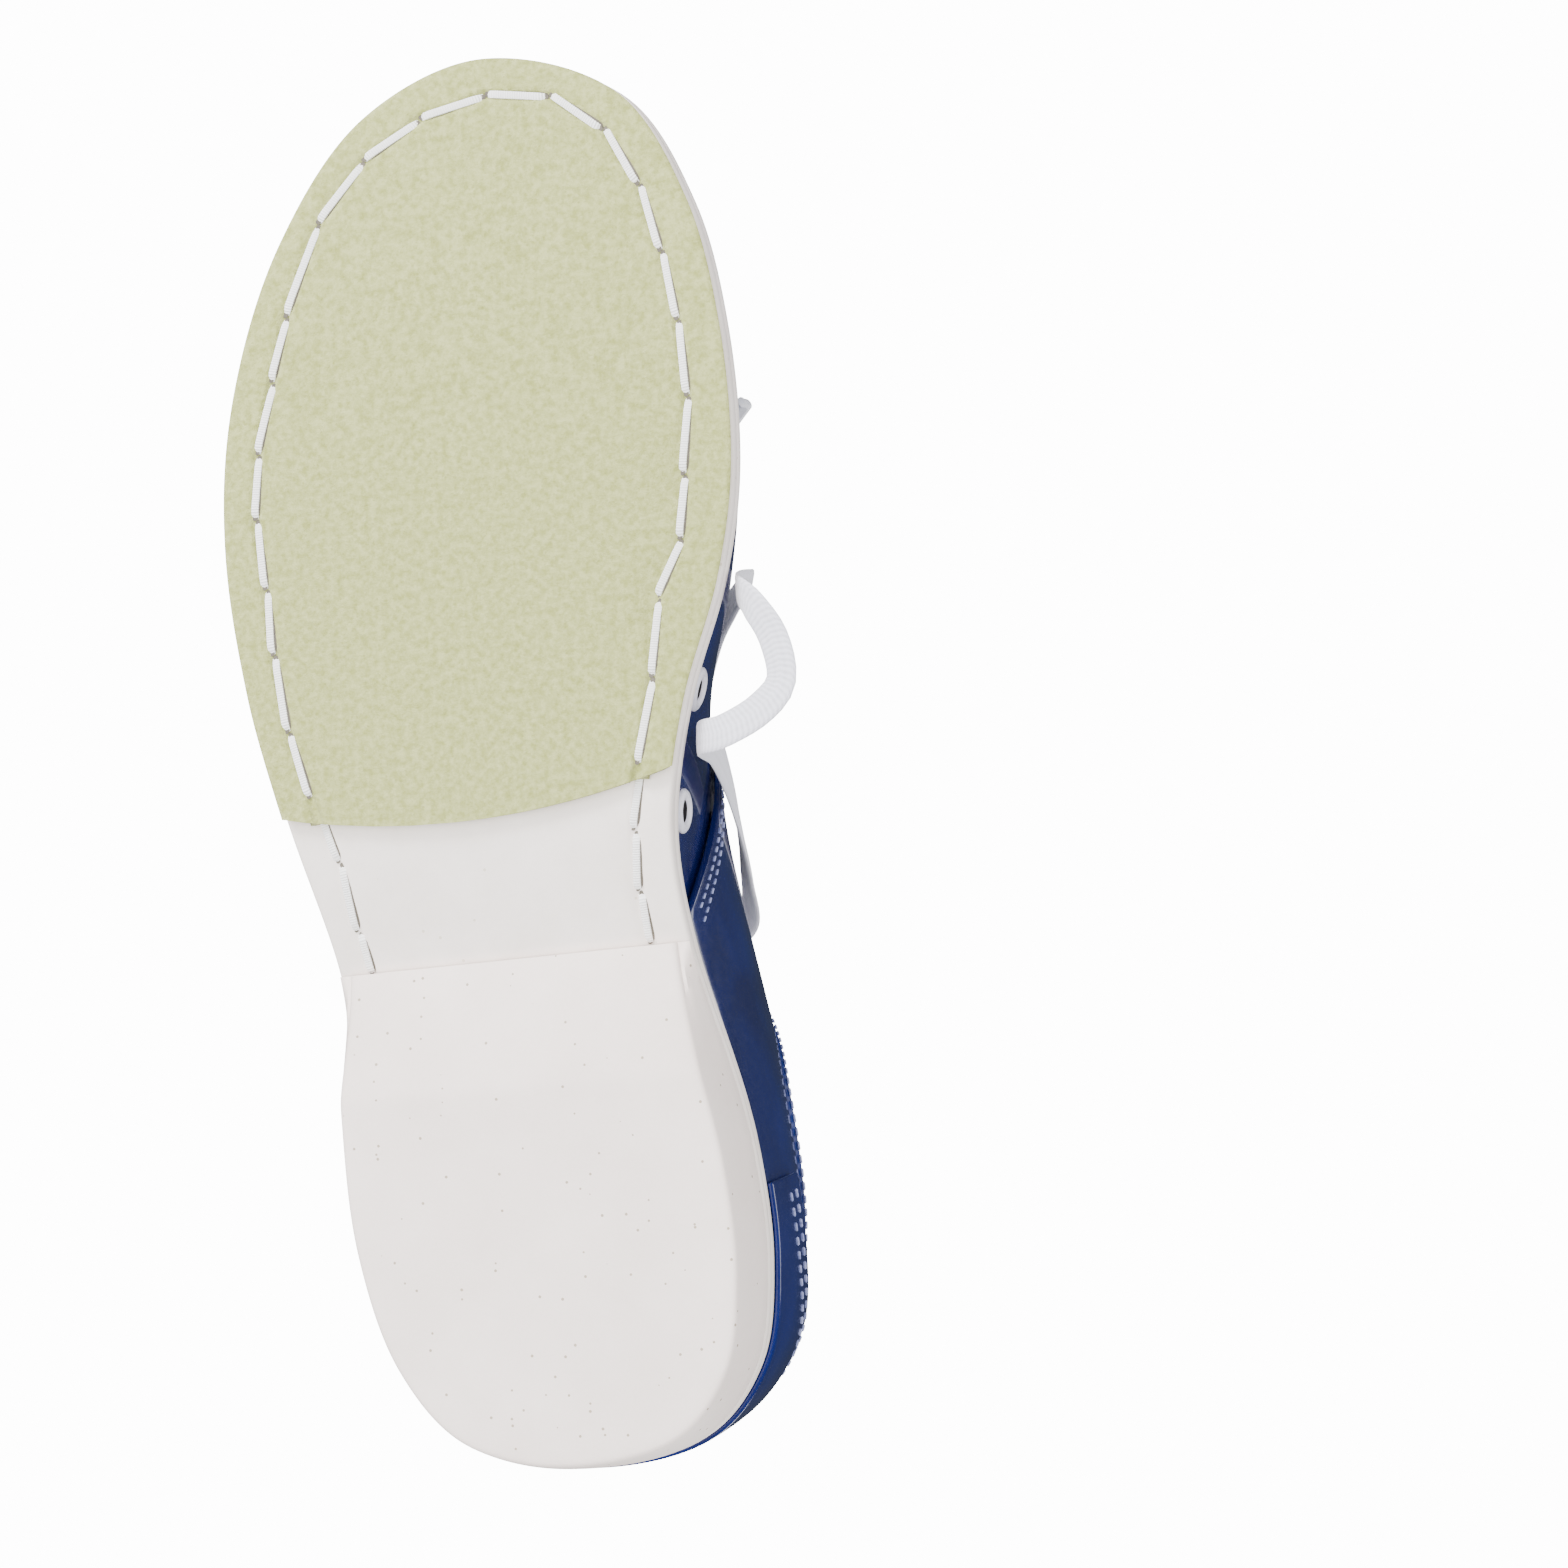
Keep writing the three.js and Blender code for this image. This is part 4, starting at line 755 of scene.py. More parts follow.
stitches, shade_slivers, holes = [], [], []
shuffle = random.Random(7)
for (a0, x0), (a1, x1) in zip(stitch_line, stitch_line[1:]):
    length = math.hypot(a1 - a0, x1 - x0)
    gap = 0.5 / length
    middle = (a0 + a1) / 2
    on_pad = middle > float(pad_joint(np.array((x0 + x1) / 2)))
    base = (lambda station: float(spring(station))) if on_pad else (lambda station: float(outsole_bottom(station)))
    sway = [shuffle.uniform(0.2, 0.5), shuffle.uniform(-0.5, -0.2)]
    across = ((x1 - x0) / length, -(a1 - a0) / length)
    start = (a0 + (a1 - a0) * gap + across[0] * sway[0], x0 + (x1 - x0) * gap + across[1] * sway[0])
    end = (a1 - (a1 - a0) * gap + across[0] * sway[1], x1 - (x1 - x0) * gap + across[1] * sway[1])
    stitch = sunk_stitch(start, end, 0.55, base)
    stitches.append(stitch)
    # A dark sliver beside the stitch, shifted across and sunk deeper, is painted shade of the stitch's channel.
    shade_sliver_ends = [(station, x + 0.72) for station, x in (start, end)]
    shade_slivers.append(sunk_stitch(*shade_sliver_ends, 1.02, base))
    # Each awl hole's mouth is a small dark cone of painted shade.
    for station, x in (start, end):
        bpy.ops.mesh.primitive_cone_add(vertices=10, radius1=hole_radius * MM * shuffle.uniform(0.85, 1.15),
                                        radius2=0.25 * MM,
                                        depth=0.7 * MM, location=tuple(place(np.array(station), np.array(x),
                                                                             np.array(base(station) + 0.9)) * MM))
        hole = bpy.context.object
        hole.data.materials.append(stitch_shade_finish)
        holes.append(hole)
for stitch in stitches:
    stitch.data.materials.append(thread_finish)
for shade_sliver in shade_slivers:
    shade_sliver.data.materials.append(stitch_shade_finish)
sole_thread = joined("sole_stitches", stitches)
bpy.ops.object.shade_smooth_by_angle(angle=math.radians(60))
fitted(sole_thread, "shoe", "thread", "sole_stitching_forepart", "sole_stitching_waist_lateral",
       "sole_stitching_waist_medial")
# The painted shade of the holes and of the slivers is one piece.
stitch_shade_marks = joined("sole_stitch_painted_shade", holes + shade_slivers)
fitted(stitch_shade_marks, "shoe", "thread")

# ---------------------------------------------------------------------------
# Heel. A solid block of moulded rubber with a ramp at its front; its edges are
# rounded by wear, and fine dark crumbs and yellow glue marks show on it.
heel_turns = np.linspace(-0.40, 0.40, 241)
heel_breast = 107.0
wedge_thin = 0.8


def breast(x):
    return heel_breast + 0.057 * x


def ramp_height(station, x):
    start = 80 + 0.043 * x
    rise = np.maximum(0, (station - start) / (breast(x) - start))
    bend = np.sqrt(rise * rise + 0.004) - math.sqrt(0.004)
    return bend * (outsole_bottom(breast(x)) - 0.3 - wedge_thin)


heel_spine = (34, float(breast(spine_x)))
block_insets = [2.6, 2.75, 3.1, 3.7, 4.6, 6.5, 9.0, 12.0]
stations, widths = sole_rows(heel_turns, block_insets, heel_spine, joint=breast)
round_edge = np.array([1.3, 0.75, 0.32, 0.1] + [0.0] * (len(stations) - 4))[:, None]
under = np.minimum(ramp_height(stations, widths) + round_edge, outsole_bottom(stations) - 0.5)
wall = []
wall_levels = [(1.9, 0.24), (1.3, 0.45), (0.65, 0.7), (0.15, 0.93), (0.25, 1.0)]
for inset, level in wall_levels:
    station, x = sole_rows(heel_turns, [inset], heel_spine, joint=breast)
    bottom, top = ramp_height(station[0], x[0]), outsole_bottom(station[0]) - 0.3
    z = np.maximum(bottom * (1 - level) + top * level, np.minimum(bottom + 1.3, top))
    wall.append(place(station[0], x[0], np.minimum(z, top)))
top_stations, top_widths = sole_rows(heel_turns, [0.5, 2.6, 6.5, 12.0], heel_spine, joint=breast)
rows = np.concatenate([place(stations, widths, under)[::-1], np.array(wall),
                       place(top_stations, top_widths, outsole_bottom(top_stations) - 0.3)])
heel = grid_mesh("heel_block_rubber", rows, wrapped=True)
capped(heel)
bpy.ops.object.shade_smooth_by_angle(angle=math.radians(35))
heel_finish = surfaced("heel_block_rubber", linear(250, 237, 231), linear(238, 224, 217), linear(150, 134, 108),
                       blotch=30.0, grain=1400.0, speck=420.0, speck_size=0.13, roughness=(0.45, 0.65),
                       bump=0.3, bump_depth=0.00012, stain_amount=0.8)
heel.data.materials.append(heel_finish)
fitted(heel, "shoe", "heel", "heel_wedge")

# ---------------------------------------------------------------------------
# Vamp. One panel of glossy patent leather lasted over the toe and the ball, its
# lower edge glued into the sole; two metal vents are set low on its inner side.
patent_finish, tree = blank_finish("patent_blue")
here = put(tree, "TexCoord")
film = put(tree, "TexNoise", {"Vector": here.outputs["Object"], "Scale": 620.0, "Detail": 2.0})
pull = put(tree, "TexNoise", {"Vector": here.outputs["Object"], "Scale": 34.0, "Detail": 3.0, "Distortion": 0.4})
cloudy = put(tree, "MapRange", {0: pull.outputs[0], 1: 0.3, 2: 0.7})
tone = put(tree, "Mix", {0: cloudy.outputs[0], 6: linear(8, 18, 74), 7: linear(13, 31, 106)}, data_type="RGBA")
rough = put(tree, "MapRange", {0: film.outputs[0], 3: 0.16, 4: 0.3})
creases = put(tree, "Bump", {"Height": pull.outputs[0], "Strength": 0.5, "Distance": 0.0012})
peel = put(tree, "Bump", {"Height": film.outputs[0], "Strength": 0.08, "Distance": 0.0001,
                          "Normal": creases.outputs[0]})
lacquer = put(tree, "BsdfPrincipled", {"Base Color": tone.outputs[2], "Roughness": rough.outputs[0],
                                       "Coat Weight": 0.9,
                                       "Coat Roughness": 0.05, "Normal": peel.outputs[0]})
put(tree, "OutputMaterial", {"Surface": lacquer.outputs[0]})

lace_hole_radius = 2.65
vent_hole_radius = 3.05
vent_holes = []
for hole_station in (159.5, 135.0):
    t = np.linspace(0.2, 0.9, 4000)
    hole_q = float(t[np.argmin(np.abs(edge_point(t)[0] - hole_station))])
    v = np.linspace(0, 0.5, 2000)
    rise = np.abs(last_surface(np.full_like(v, hole_q), v)[:, 2] - float(outsole_top(hole_station)) - 12.0)
    vent_holes.append((hole_q, float(v[np.argmin(rise)])))
lace_holes = {}
for side in (-1, 1):
    hole_qs = side * t_at_station(160.0 - 14.6 * np.arange(5))
    lace_holes[side] = list(zip(hole_qs, v_below(hole_qs, top_line(hole_qs), 8.5)))


def stand_at(q, v, depth):
    """The matrix that stands a piece made round Z on the last, in metres."""
    q, v = np.array([q]), np.array([v])
    out = Vector(last_normal(q, v)[0])
    turn = Vector((0, 0, 1)).rotation_difference(out).to_matrix().to_4x4()
    return Matrix.Translation(Vector(skin(q, v, depth)[0] * MM)) @ turn


def punched(piece, holes, radius):
    """Cuts round holes through a panel."""
    cutters = []
    for q, v in holes:
        bpy.ops.mesh.primitive_cylinder_add(vertices=24, radius=radius * MM, depth=26 * MM)
        cutter = bpy.context.object
        cutter.data.transform(stand_at(q, v, 0.0))
        cutters.append(cutter)
    punch = joined("punch", cutters)
    bpy.ops.object.select_all(action="DESELECT")
    piece.select_set(True)
    apply_modifier(piece, "BOOLEAN", object=punch, operation="DIFFERENCE", solver="EXACT")
    bpy.data.objects.remove(punch, do_unlink=True)


def panel(name, q, v, outer, thickness, finish, slot, replaced, holes=(), hole_radius=2.0, edge=0.35, body="shoe"):
    """A cut panel on the last: q and v of its grid, the depth of its face, and its thickness in millimetres."""
    points = skin(q, v, np.full(q.shape, outer) if np.isscalar(outer) else outer)
    piece = grid_mesh(name, points, wrapped=True)
    sample = points[:-1, 1:-1][points.shape[0] // 2, points.shape[1] // 4]
    out = last_normal(q, v)[points.shape[0] // 2, points.shape[1] // 4 + 1]
    nearest = min(piece.data.polygons, key=lambda face: (face.center / MM - Vector(sample)).length_squared)
    if nearest.normal.dot(Vector(out)) < 0:
        in_edit_mode((bpy.ops.mesh.flip_normals, {}))
    apply_modifier(piece, "SOLIDIFY", thickness=thickness * MM, offset=-1.0)
    if holes:
        punched(piece, holes, hole_radius)
    apply_modifier(piece, "BEVEL", width=edge * MM, segments=2, limit_method="ANGLE", angle_limit=math.radians(55))
    bpy.context.view_layer.objects.active = piece
    piece.select_set(True)
    bpy.ops.object.shade_smooth_by_angle(angle=math.radians(50))
    piece.data.materials.append(finish)
    fitted(piece, body, slot)
    if replaced:
        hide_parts(replaced)
    return piece


def vamp_grid(rear, columns, rows):
    """q and v of a panel round the toe, from a rear line on one side to the same on the other."""
    v = np.linspace(0, 1, rows + 1)[:, None]
    s = np.linspace(0, 1, columns + 1)[None, :]
    start = rear(v)
    return start + (2 - 2 * start) * s, np.broadcast_to(v, (rows + 1, columns + 1))


def vamp_rear(v):
    return t_at_station(106 + 70 * v**0.7)


q, v = vamp_grid(vamp_rear, 180, 44)
panel("vamp_patent", q, v, -0.6, 1.3, patent_finish, "patent", "vamp", holes=vent_holes, hole_radius=vent_hole_radius)

# ---------------------------------------------------------------------------
# Quarters. The two side panels of patent leather meet in a seam at the back and
# are stitched over the vamp; they carry the eyelets in front.
def front_of_quarter(r):
    return t_at_station(114 + 64 * np.asarray(r, float) ** 0.9)


def quarter_grid(side, columns, rows, drop=0.0, front=front_of_quarter):
    r = np.linspace(0, 1, rows + 1)[:, None]
    s = np.linspace(0, 1, columns + 1)[None, :]
    q = side * (0.0025 + (front(r) - 0.0025) * s)
    edge = np.stack([top_line(row) for row in q])
    return q, r * (v_below(q, edge, drop) if drop else edge)


for side, label in ((-1, "lateral"), (1, "medial")):
    q, v = quarter_grid(side, 96, 40)
    panel(f"quarter_{label}_patent", q, v, 1.7, 1.4, patent_finish, "patent", f"quarter_{label}",
          holes=lace_holes[side], hole_radius=lace_hole_radius)

# ---------------------------------------------------------------------------
# Eyestays. A second layer of patent leather down each side of the throat, which
# takes the pull of the lace.
eyestay_width = 17.0
for side, label in ((-1, "lateral"), (1, "medial")):
    s = np.linspace(0, 1, 61)[None, :]
    r = np.linspace(0, 1, 15)[:, None]
    q = np.broadcast_to(side * t_at_station(98 + 78 * s), (15, 61))
    edge = np.broadcast_to(top_line(q[0])[None, :], q.shape)
    foot = v_below(q, edge, eyestay_width * (1 - 0.7 * np.abs(2 * s[0] - 1) ** 9))
    panel(f"eyestay_{label}_patent", q, foot + (edge - foot) * r, 3.5, 1.2, patent_finish, "patent",
          f"eyestay_{label}",
          holes=lace_holes[side], hole_radius=lace_hole_radius, edge=0.4)

# ---------------------------------------------------------------------------
# Heel counter cover. A patent panel round the heel, high at the back seam and
# low at its ends, stitched down along its curved top.
counter_reach = float(t_at_station(58.0))


def counter_top(q):
    start = float(top_line(np.array([0.001]))[0])
    return start + (0.12 - start) * smooth(np.abs(q) / counter_reach) ** 0.8


s = np.linspace(-1, 1, 91)[None, :]
r = np.linspace(0, 1, 25)[:, None]
q = np.broadcast_to(counter_reach * s, (25, 91))
panel("heel_counter_patent", q, counter_top(q) * r, 3.5, 1.2, patent_finish, "patent", "heel_counter", edge=0.4)

# ---------------------------------------------------------------------------
# Topline binding. A strip of soft leather folded over the open edge round the
# ankle and sewn down inside and outside.
leather_finish = surfaced("binding_leather", linear(22, 48, 128), linear(12, 30, 92), linear(8, 20, 60),
                          blotch=120.0, grain=900.0, speck=1100.0, speck_size=0.2, roughness=(0.35, 0.5),
                          bump=0.5, bump_depth=0.00025, stain_amount=0.2)
binding_reach = float(t_at_station(98.0))
q_line = np.linspace(-binding_reach, binding_reach, 161)
fold = [(2.2, -3.2), (2.5, -2.2), (2.45, -0.6), (1.9, 0.7), (0.6, 1.55), (-1.2, 1.8), (-2.9, 1.4), (-4.0, 0.5),
        (-4.35, -0.8), (-4.2, -2.4)]
fold += [(-3.8, -3.2), (-3.75, -0.4), (-1.0, 0.35), (1.7, -0.4), (1.75, -3.2), (2.2, -3.2)]
edge = top_line(q_line)
rows = []
for depth, climb in fold:
    rows.append(skin(q_line, edge, np.full(q_line.shape, depth)) + np.array([0, 0, climb]))
binding = grid_mesh("topline_binding_leather", np.array(rows), wrapped=True)
capped(binding)
bpy.ops.object.shade_smooth_by_angle(angle=math.radians(55))
binding.data.materials.append(leather_finish)
fitted(binding, "shoe", "binding", "topline_binding")

# ---------------------------------------------------------------------------
# Linings. Grey woven cotton behind the vamp and the quarters, cut short of the
# topline, where the binding holds it.
def weave_group():
    """Plain weave: threads that cross over and under, from a place and a thread spacing."""
    group = bpy.data.node_groups.new("plain_weave", "ShaderNodeTree")
    group.interface.new_socket(name="Vector", in_out="INPUT", socket_type="NodeSocketVector")
    group.interface.new_socket(name="Threads", in_out="INPUT", socket_type="NodeSocketFloat")
    group.interface.new_socket(name="Height", in_out="OUTPUT", socket_type="NodeSocketFloat")
    given = group.nodes.new("NodeGroupInput")
    out = group.nodes.new("NodeGroupOutput")
    scaled = put(group, "VectorMath", {0: given.outputs[0], 3: given.outputs[1]}, operation="SCALE")
    split = put(group, "SeparateXYZ", {0: scaled.outputs[0]})
    lean = put(group, "Math", {0: split.outputs[2], 1: 0.83, 2: split.outputs[0]}, operation="MULTIPLY_ADD")
    fall = put(group, "Math", {0: split.outputs[2], 1: -0.61, 2: split.outputs[1]}, operation="MULTIPLY_ADD")
    warp = put(group, "Math", {0: lean.outputs[0]}, operation="SINE")
    weft = put(group, "Math", {0: fall.outputs[0]}, operation="SINE")
    cross = put(group, "Math", {0: warp.outputs[0], 1: weft.outputs[0]}, operation="MULTIPLY")
    level = put(group, "MapRange", {0: cross.outputs[0], 1: -1.0, 2: 1.0})
    group.links.new(level.outputs[0], out.inputs[0])
    return group


plain_weave = weave_group()


def woven(name, light, dark, threads, bump_depth=0.00025, roughness=0.9, sheen=0.2):
    """A woven cloth: its threads shade it and raise it, and soft blotches vary its tone."""
    finish, tree = blank_finish(name)
    here = put(tree, "TexCoord")
    cloth = tree.nodes.new("ShaderNodeGroup")
    cloth.node_tree = plain_weave
    tree.links.new(here.outputs["Object"], cloth.inputs[0])
    cloth.inputs[1].default_value = threads
    blotch = put(tree, "TexNoise", {"Vector": here.outputs["Object"], "Scale": 60.0, "Detail": 4.0})
    both = put(tree, "Math", {0: blotch.outputs[0], 1: 0.6, 2: cloth.outputs[0]}, operation="MULTIPLY_ADD")
    level = put(tree, "MapRange", {0: both.outputs[0], 1: 0.0, 2: 1.5})
    tone = put(tree, "Mix", {0: level.outputs[0], 6: dark, 7: light}, data_type="RGBA")
    relief = put(tree, "Bump", {"Height": cloth.outputs[0], "Strength": 0.6, "Distance": bump_depth})
    body = put(tree, "BsdfPrincipled", {"Base Color": tone.outputs[2], "Roughness": roughness, "Sheen Weight": sheen,
                                        "Normal": relief.outputs[0]})
    put(tree, "OutputMaterial", {"Surface": body.outputs[0]})
    return finish


lining_finish = woven("lining_grey_cotton", linear(196, 198, 208), linear(142, 146, 160), 5200.0)
q, v = vamp_grid(vamp_rear, 120, 30)
panel("vamp_lining_cotton", q, v, -3.9, 1.3, lining_finish, "lining", "vamp_lining", holes=vent_holes,
      hole_radius=vent_hole_radius, edge=0.3)


def front_of_lining(r):
    behind_vamp = t_at_station(106 + 70 * (0.9 * np.asarray(r, float)) ** 0.7) - 0.004
    return np.minimum(front_of_quarter(r), behind_vamp)


for side, label in ((-1, "lateral"), (1, "medial")):
    q, v = quarter_grid(side, 72, 28, drop=1.5, front=front_of_lining)
    panel(f"quarter_lining_{label}_cotton", q, v, -2.4, 1.3, lining_finish, "lining", f"quarter_lining_{label}",
          holes=lace_holes[side], hole_radius=lace_hole_radius, edge=0.3)

q = np.broadcast_to(np.linspace(-0.016, 0.016, 11)[None, :], (25, 11))
edge = np.broadcast_to(v_below(q[0], top_line(q[0]), 2.0)[None, :], q.shape)
tape_v = 0.03 + (edge - 0.03) * np.linspace(0, 1, 25)[:, None]
panel("heel_seam_tape_cotton", q, tape_v, -3.75, 0.35, lining_finish, "lining", None, edge=0.1)

# ---------------------------------------------------------------------------
# Collar padding. A roll of foam in grey cloth round the ankle, 22 mm high, sewn
# through along one line so that it swells above and below it.
collar_finish = woven("collar_cloth", linear(206, 208, 218), linear(150, 154, 168), 4400.0, bump_depth=0.0003)
collar_reach = float(t_at_station(84.0))
q_line = np.linspace(-collar_reach, collar_reach, 141)
edge = top_line(q_line)
taper = smooth((1 - np.abs(np.linspace(-1, 1, 141))) / 0.16) ** 0.6
around = np.linspace(0, 2 * math.pi, 25)
rows = []
for angle in around:
    climb = -11.75 + 10.2 * np.sign(math.sin(angle)) * abs(math.sin(angle)) ** 0.8
    bulk = 2.4 * np.sign(math.cos(angle)) * abs(math.cos(angle)) ** 0.7
    seam_line = 0.62 * math.exp(-(((climb + 12.5) / 1.5) ** 2)) if bulk < 0 else 0.0
    depth = -7.1 + 2.1 * (1 - taper) + bulk * (1 - seam_line) * (0.12 + 0.88 * taper)
    rows.append(skin(q_line, v_below(q_line, edge, -climb), depth))
collar = grid_mesh("collar_padding_cloth", np.array(rows), wrapped=True)
capped(collar)
apply_modifier(collar, "SUBSURF", levels=1, render_levels=1)
bpy.ops.object.shade_smooth()
collar.data.materials.append(collar_finish)
fitted(collar, "shoe", "collar", "collar_padding")

# ---------------------------------------------------------------------------
# Sock liner. A moulded foam insole under cloth, 3 mm thick, that curls up at its
# edge and dips under the heel and the ball of the foot.
liner_insets = [9.0, 9.25, 9.8, 10.8, 12.2, 14.0]
stations, widths = sole_rows(np.linspace(-1, 1, 241), liner_insets, (40, 252))
rim = np.array([0.9, 0.25, 0.05, 0.0, -0.15, -0.3] + [-0.4] * (len(stations) - 6))[:, None]
dip = 0.5 * bell((stations - 42) / 24) + 0.35 * bell((stations - 205) / 30)
inward = np.linspace(0, 1, len(stations))[:, None] ** 0.5
over = outsole_top(stations) + 7.4 - rim * 1.0 - dip * inward
under = outsole_top(stations) + 4.45 + 0.0 * stations
under[0] += 0.4
rows = np.concatenate([place(stations, widths, under)[::-1], place(stations, widths, over)])
liner = grid_mesh("sock_liner_foam", rows, wrapped=True)
in_edit_mode(outwards)
bpy.ops.object.shade_smooth_by_angle(angle=math.radians(60))
liner.data.materials.append(woven("sock_liner_cloth", linear(186, 190, 204), linear(128, 133, 152), 3600.0))
fitted(liner, "shoe", "lining", "sock_liner")

# ---------------------------------------------------------------------------
# Tongue. Patent leather outside, foam, and cotton inside, sewn under the vamp at
# its root. It rests against the lace, on a body of its own.
foam_finish = surfaced("tongue_foam", linear(236, 228, 200), linear(214, 204, 172), linear(180, 168, 130),
                       blotch=200.0, grain=900.0, speck=800.0, speck_size=0.3, roughness=(0.9, 1.0), bump=0.7,
                       bump_depth=0.0004)
tongue_layers = (("tongue_patent", 0.0, 1.1, 0.0, patent_finish, "patent", "tongue_outer", 0.45),
                 ("tongue_foam_pad", 1.3, 2.4, 1.5, foam_finish, "foam", "tongue_foam", 0.9),
                 ("tongue_lining_cotton", 3.9, 1.1, 0.0, lining_finish, "lining", "tongue_lining", 0.4))
for name, offset, thickness, inset, finish, slot, node, edge_round in tongue_layers:
    s = np.linspace(0, 1, 73)[:, None]
    w = np.linspace(-1, 1, 37)[None, :]
    station = 84 + inset + (194 - 84 - inset) * s
    reach = (0.34 - inset / 60) * np.minimum(1, 1.25 * np.sqrt(s) + 0.55)
    q = np.where(w < 0, -1, 1) * t_at_station(station)
    depth = -(8.2 - 1.6 * smooth((station - 166) / 16)) - offset + 0.0 * w
    layer = panel(name, q, 1 - np.abs(w) * reach, depth, thickness, finish, slot, node, edge=edge_round,
                  body="tongue")

# ---------------------------------------------------------------------------
# Eyelets. Pressed rings of painted metal with a rolled flange outside and a
# clenched one inside: ten for the lace, and two larger ones as vents.
eyelet_finish = surfaced("eyelet_paint", linear(236, 235, 246), linear(222, 221, 236), linear(150, 150, 160),
                         blotch=300.0, grain=2200.0, speck=900.0, speck_size=0.08, roughness=(0.22, 0.34),
                         bump=0.1, bump_depth=0.00005, stain_amount=0.5)
# The dark bore finish is blackened metal, darkened further as painted shade inside the hole.
bore_dark_and_shade_finish = surfaced("eyelet_bore_blackened_painted_shade", linear(44, 42, 48), linear(26, 25, 30), linear(16, 15, 16),
                       blotch=200.0, grain=1800.0, speck=700.0, speck_size=0.2, roughness=(0.5, 0.7), bump=0.2,
                       bump_depth=0.00005)
lace_ring = [(2.28, -4.6), (2.28, 3.5), (2.4, 4.05), (2.8, 4.42), (3.4, 4.45), (3.95, 4.15), (4.25, 3.75),
             (4.2, 3.52), (3.6, 3.5), (2.7, 3.45), (2.6, 3.2), (2.6, -3.9), (2.9, -4.15), (3.4, -4.1),
             (3.5, -4.4), (3.0, -4.8), (2.5, -4.85), (2.28, -4.6)]
vent_ring = [(2.5, -6.6), (2.5, -0.15), (2.65, 0.3), (3.1, 0.62), (3.7, 0.66), (4.3, 0.4), (4.7, 0.0),
             (4.72, -0.4), (4.3, -0.5), (3.2, -0.52), (3.0, -0.8), (3.0, -6.0), (3.3, -6.2), (3.7, -6.2),
             (3.8, -6.5), (3.2, -6.85), (2.7, -6.85), (2.5, -6.6)]


def pressed_ring(name, profile, matrix, sides=36):
    turn = np.linspace(0, 2 * math.pi, sides + 1)
    radius, height = np.array(profile).T
    points = np.stack([radius[:, None] * np.cos(turn), radius[:, None] * np.sin(turn),
                       np.broadcast_to(height[:, None], (len(profile), sides + 1))], -1)
    ring = grid_mesh(name, points, wrapped=True)
    in_edit_mode(outwards)
    bpy.ops.object.shade_smooth_by_angle(angle=math.radians(45))
    ring.data.materials.append(eyelet_finish)
    ring.data.materials.append(bore_dark_and_shade_finish)
    bore = float(radius.min()) + 0.3
    outside = float(height.max())
    # Faces inside the bore take the dark finish: blackened metal and painted shade.
    for face in ring.data.polygons:
        middle = face.center / MM
        if math.hypot(middle.x, middle.y) < bore and middle.z < outside - 0.9:
            face.material_index = 1
    ring.data.transform(matrix)
    fitted(ring, "shoe", "eyelet")
    return ring


for side, label in ((-1, "lateral"), (1, "medial")):
    for number, (hole_q, hole_v) in enumerate(lace_holes[side], 1):
        ring = pressed_ring(f"eyelet_ring_{label}_{number}", lace_ring, stand_at(hole_q, hole_v, 0.0))
        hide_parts(f"eyelet_{label}_{number}")
for number, (hole_q, hole_v) in enumerate(vent_holes, 1):
    ring = pressed_ring(f"vent_ring_{number}", vent_ring, stand_at(hole_q, hole_v, 0.0))
    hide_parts(f"vent_eyelet_{number}")

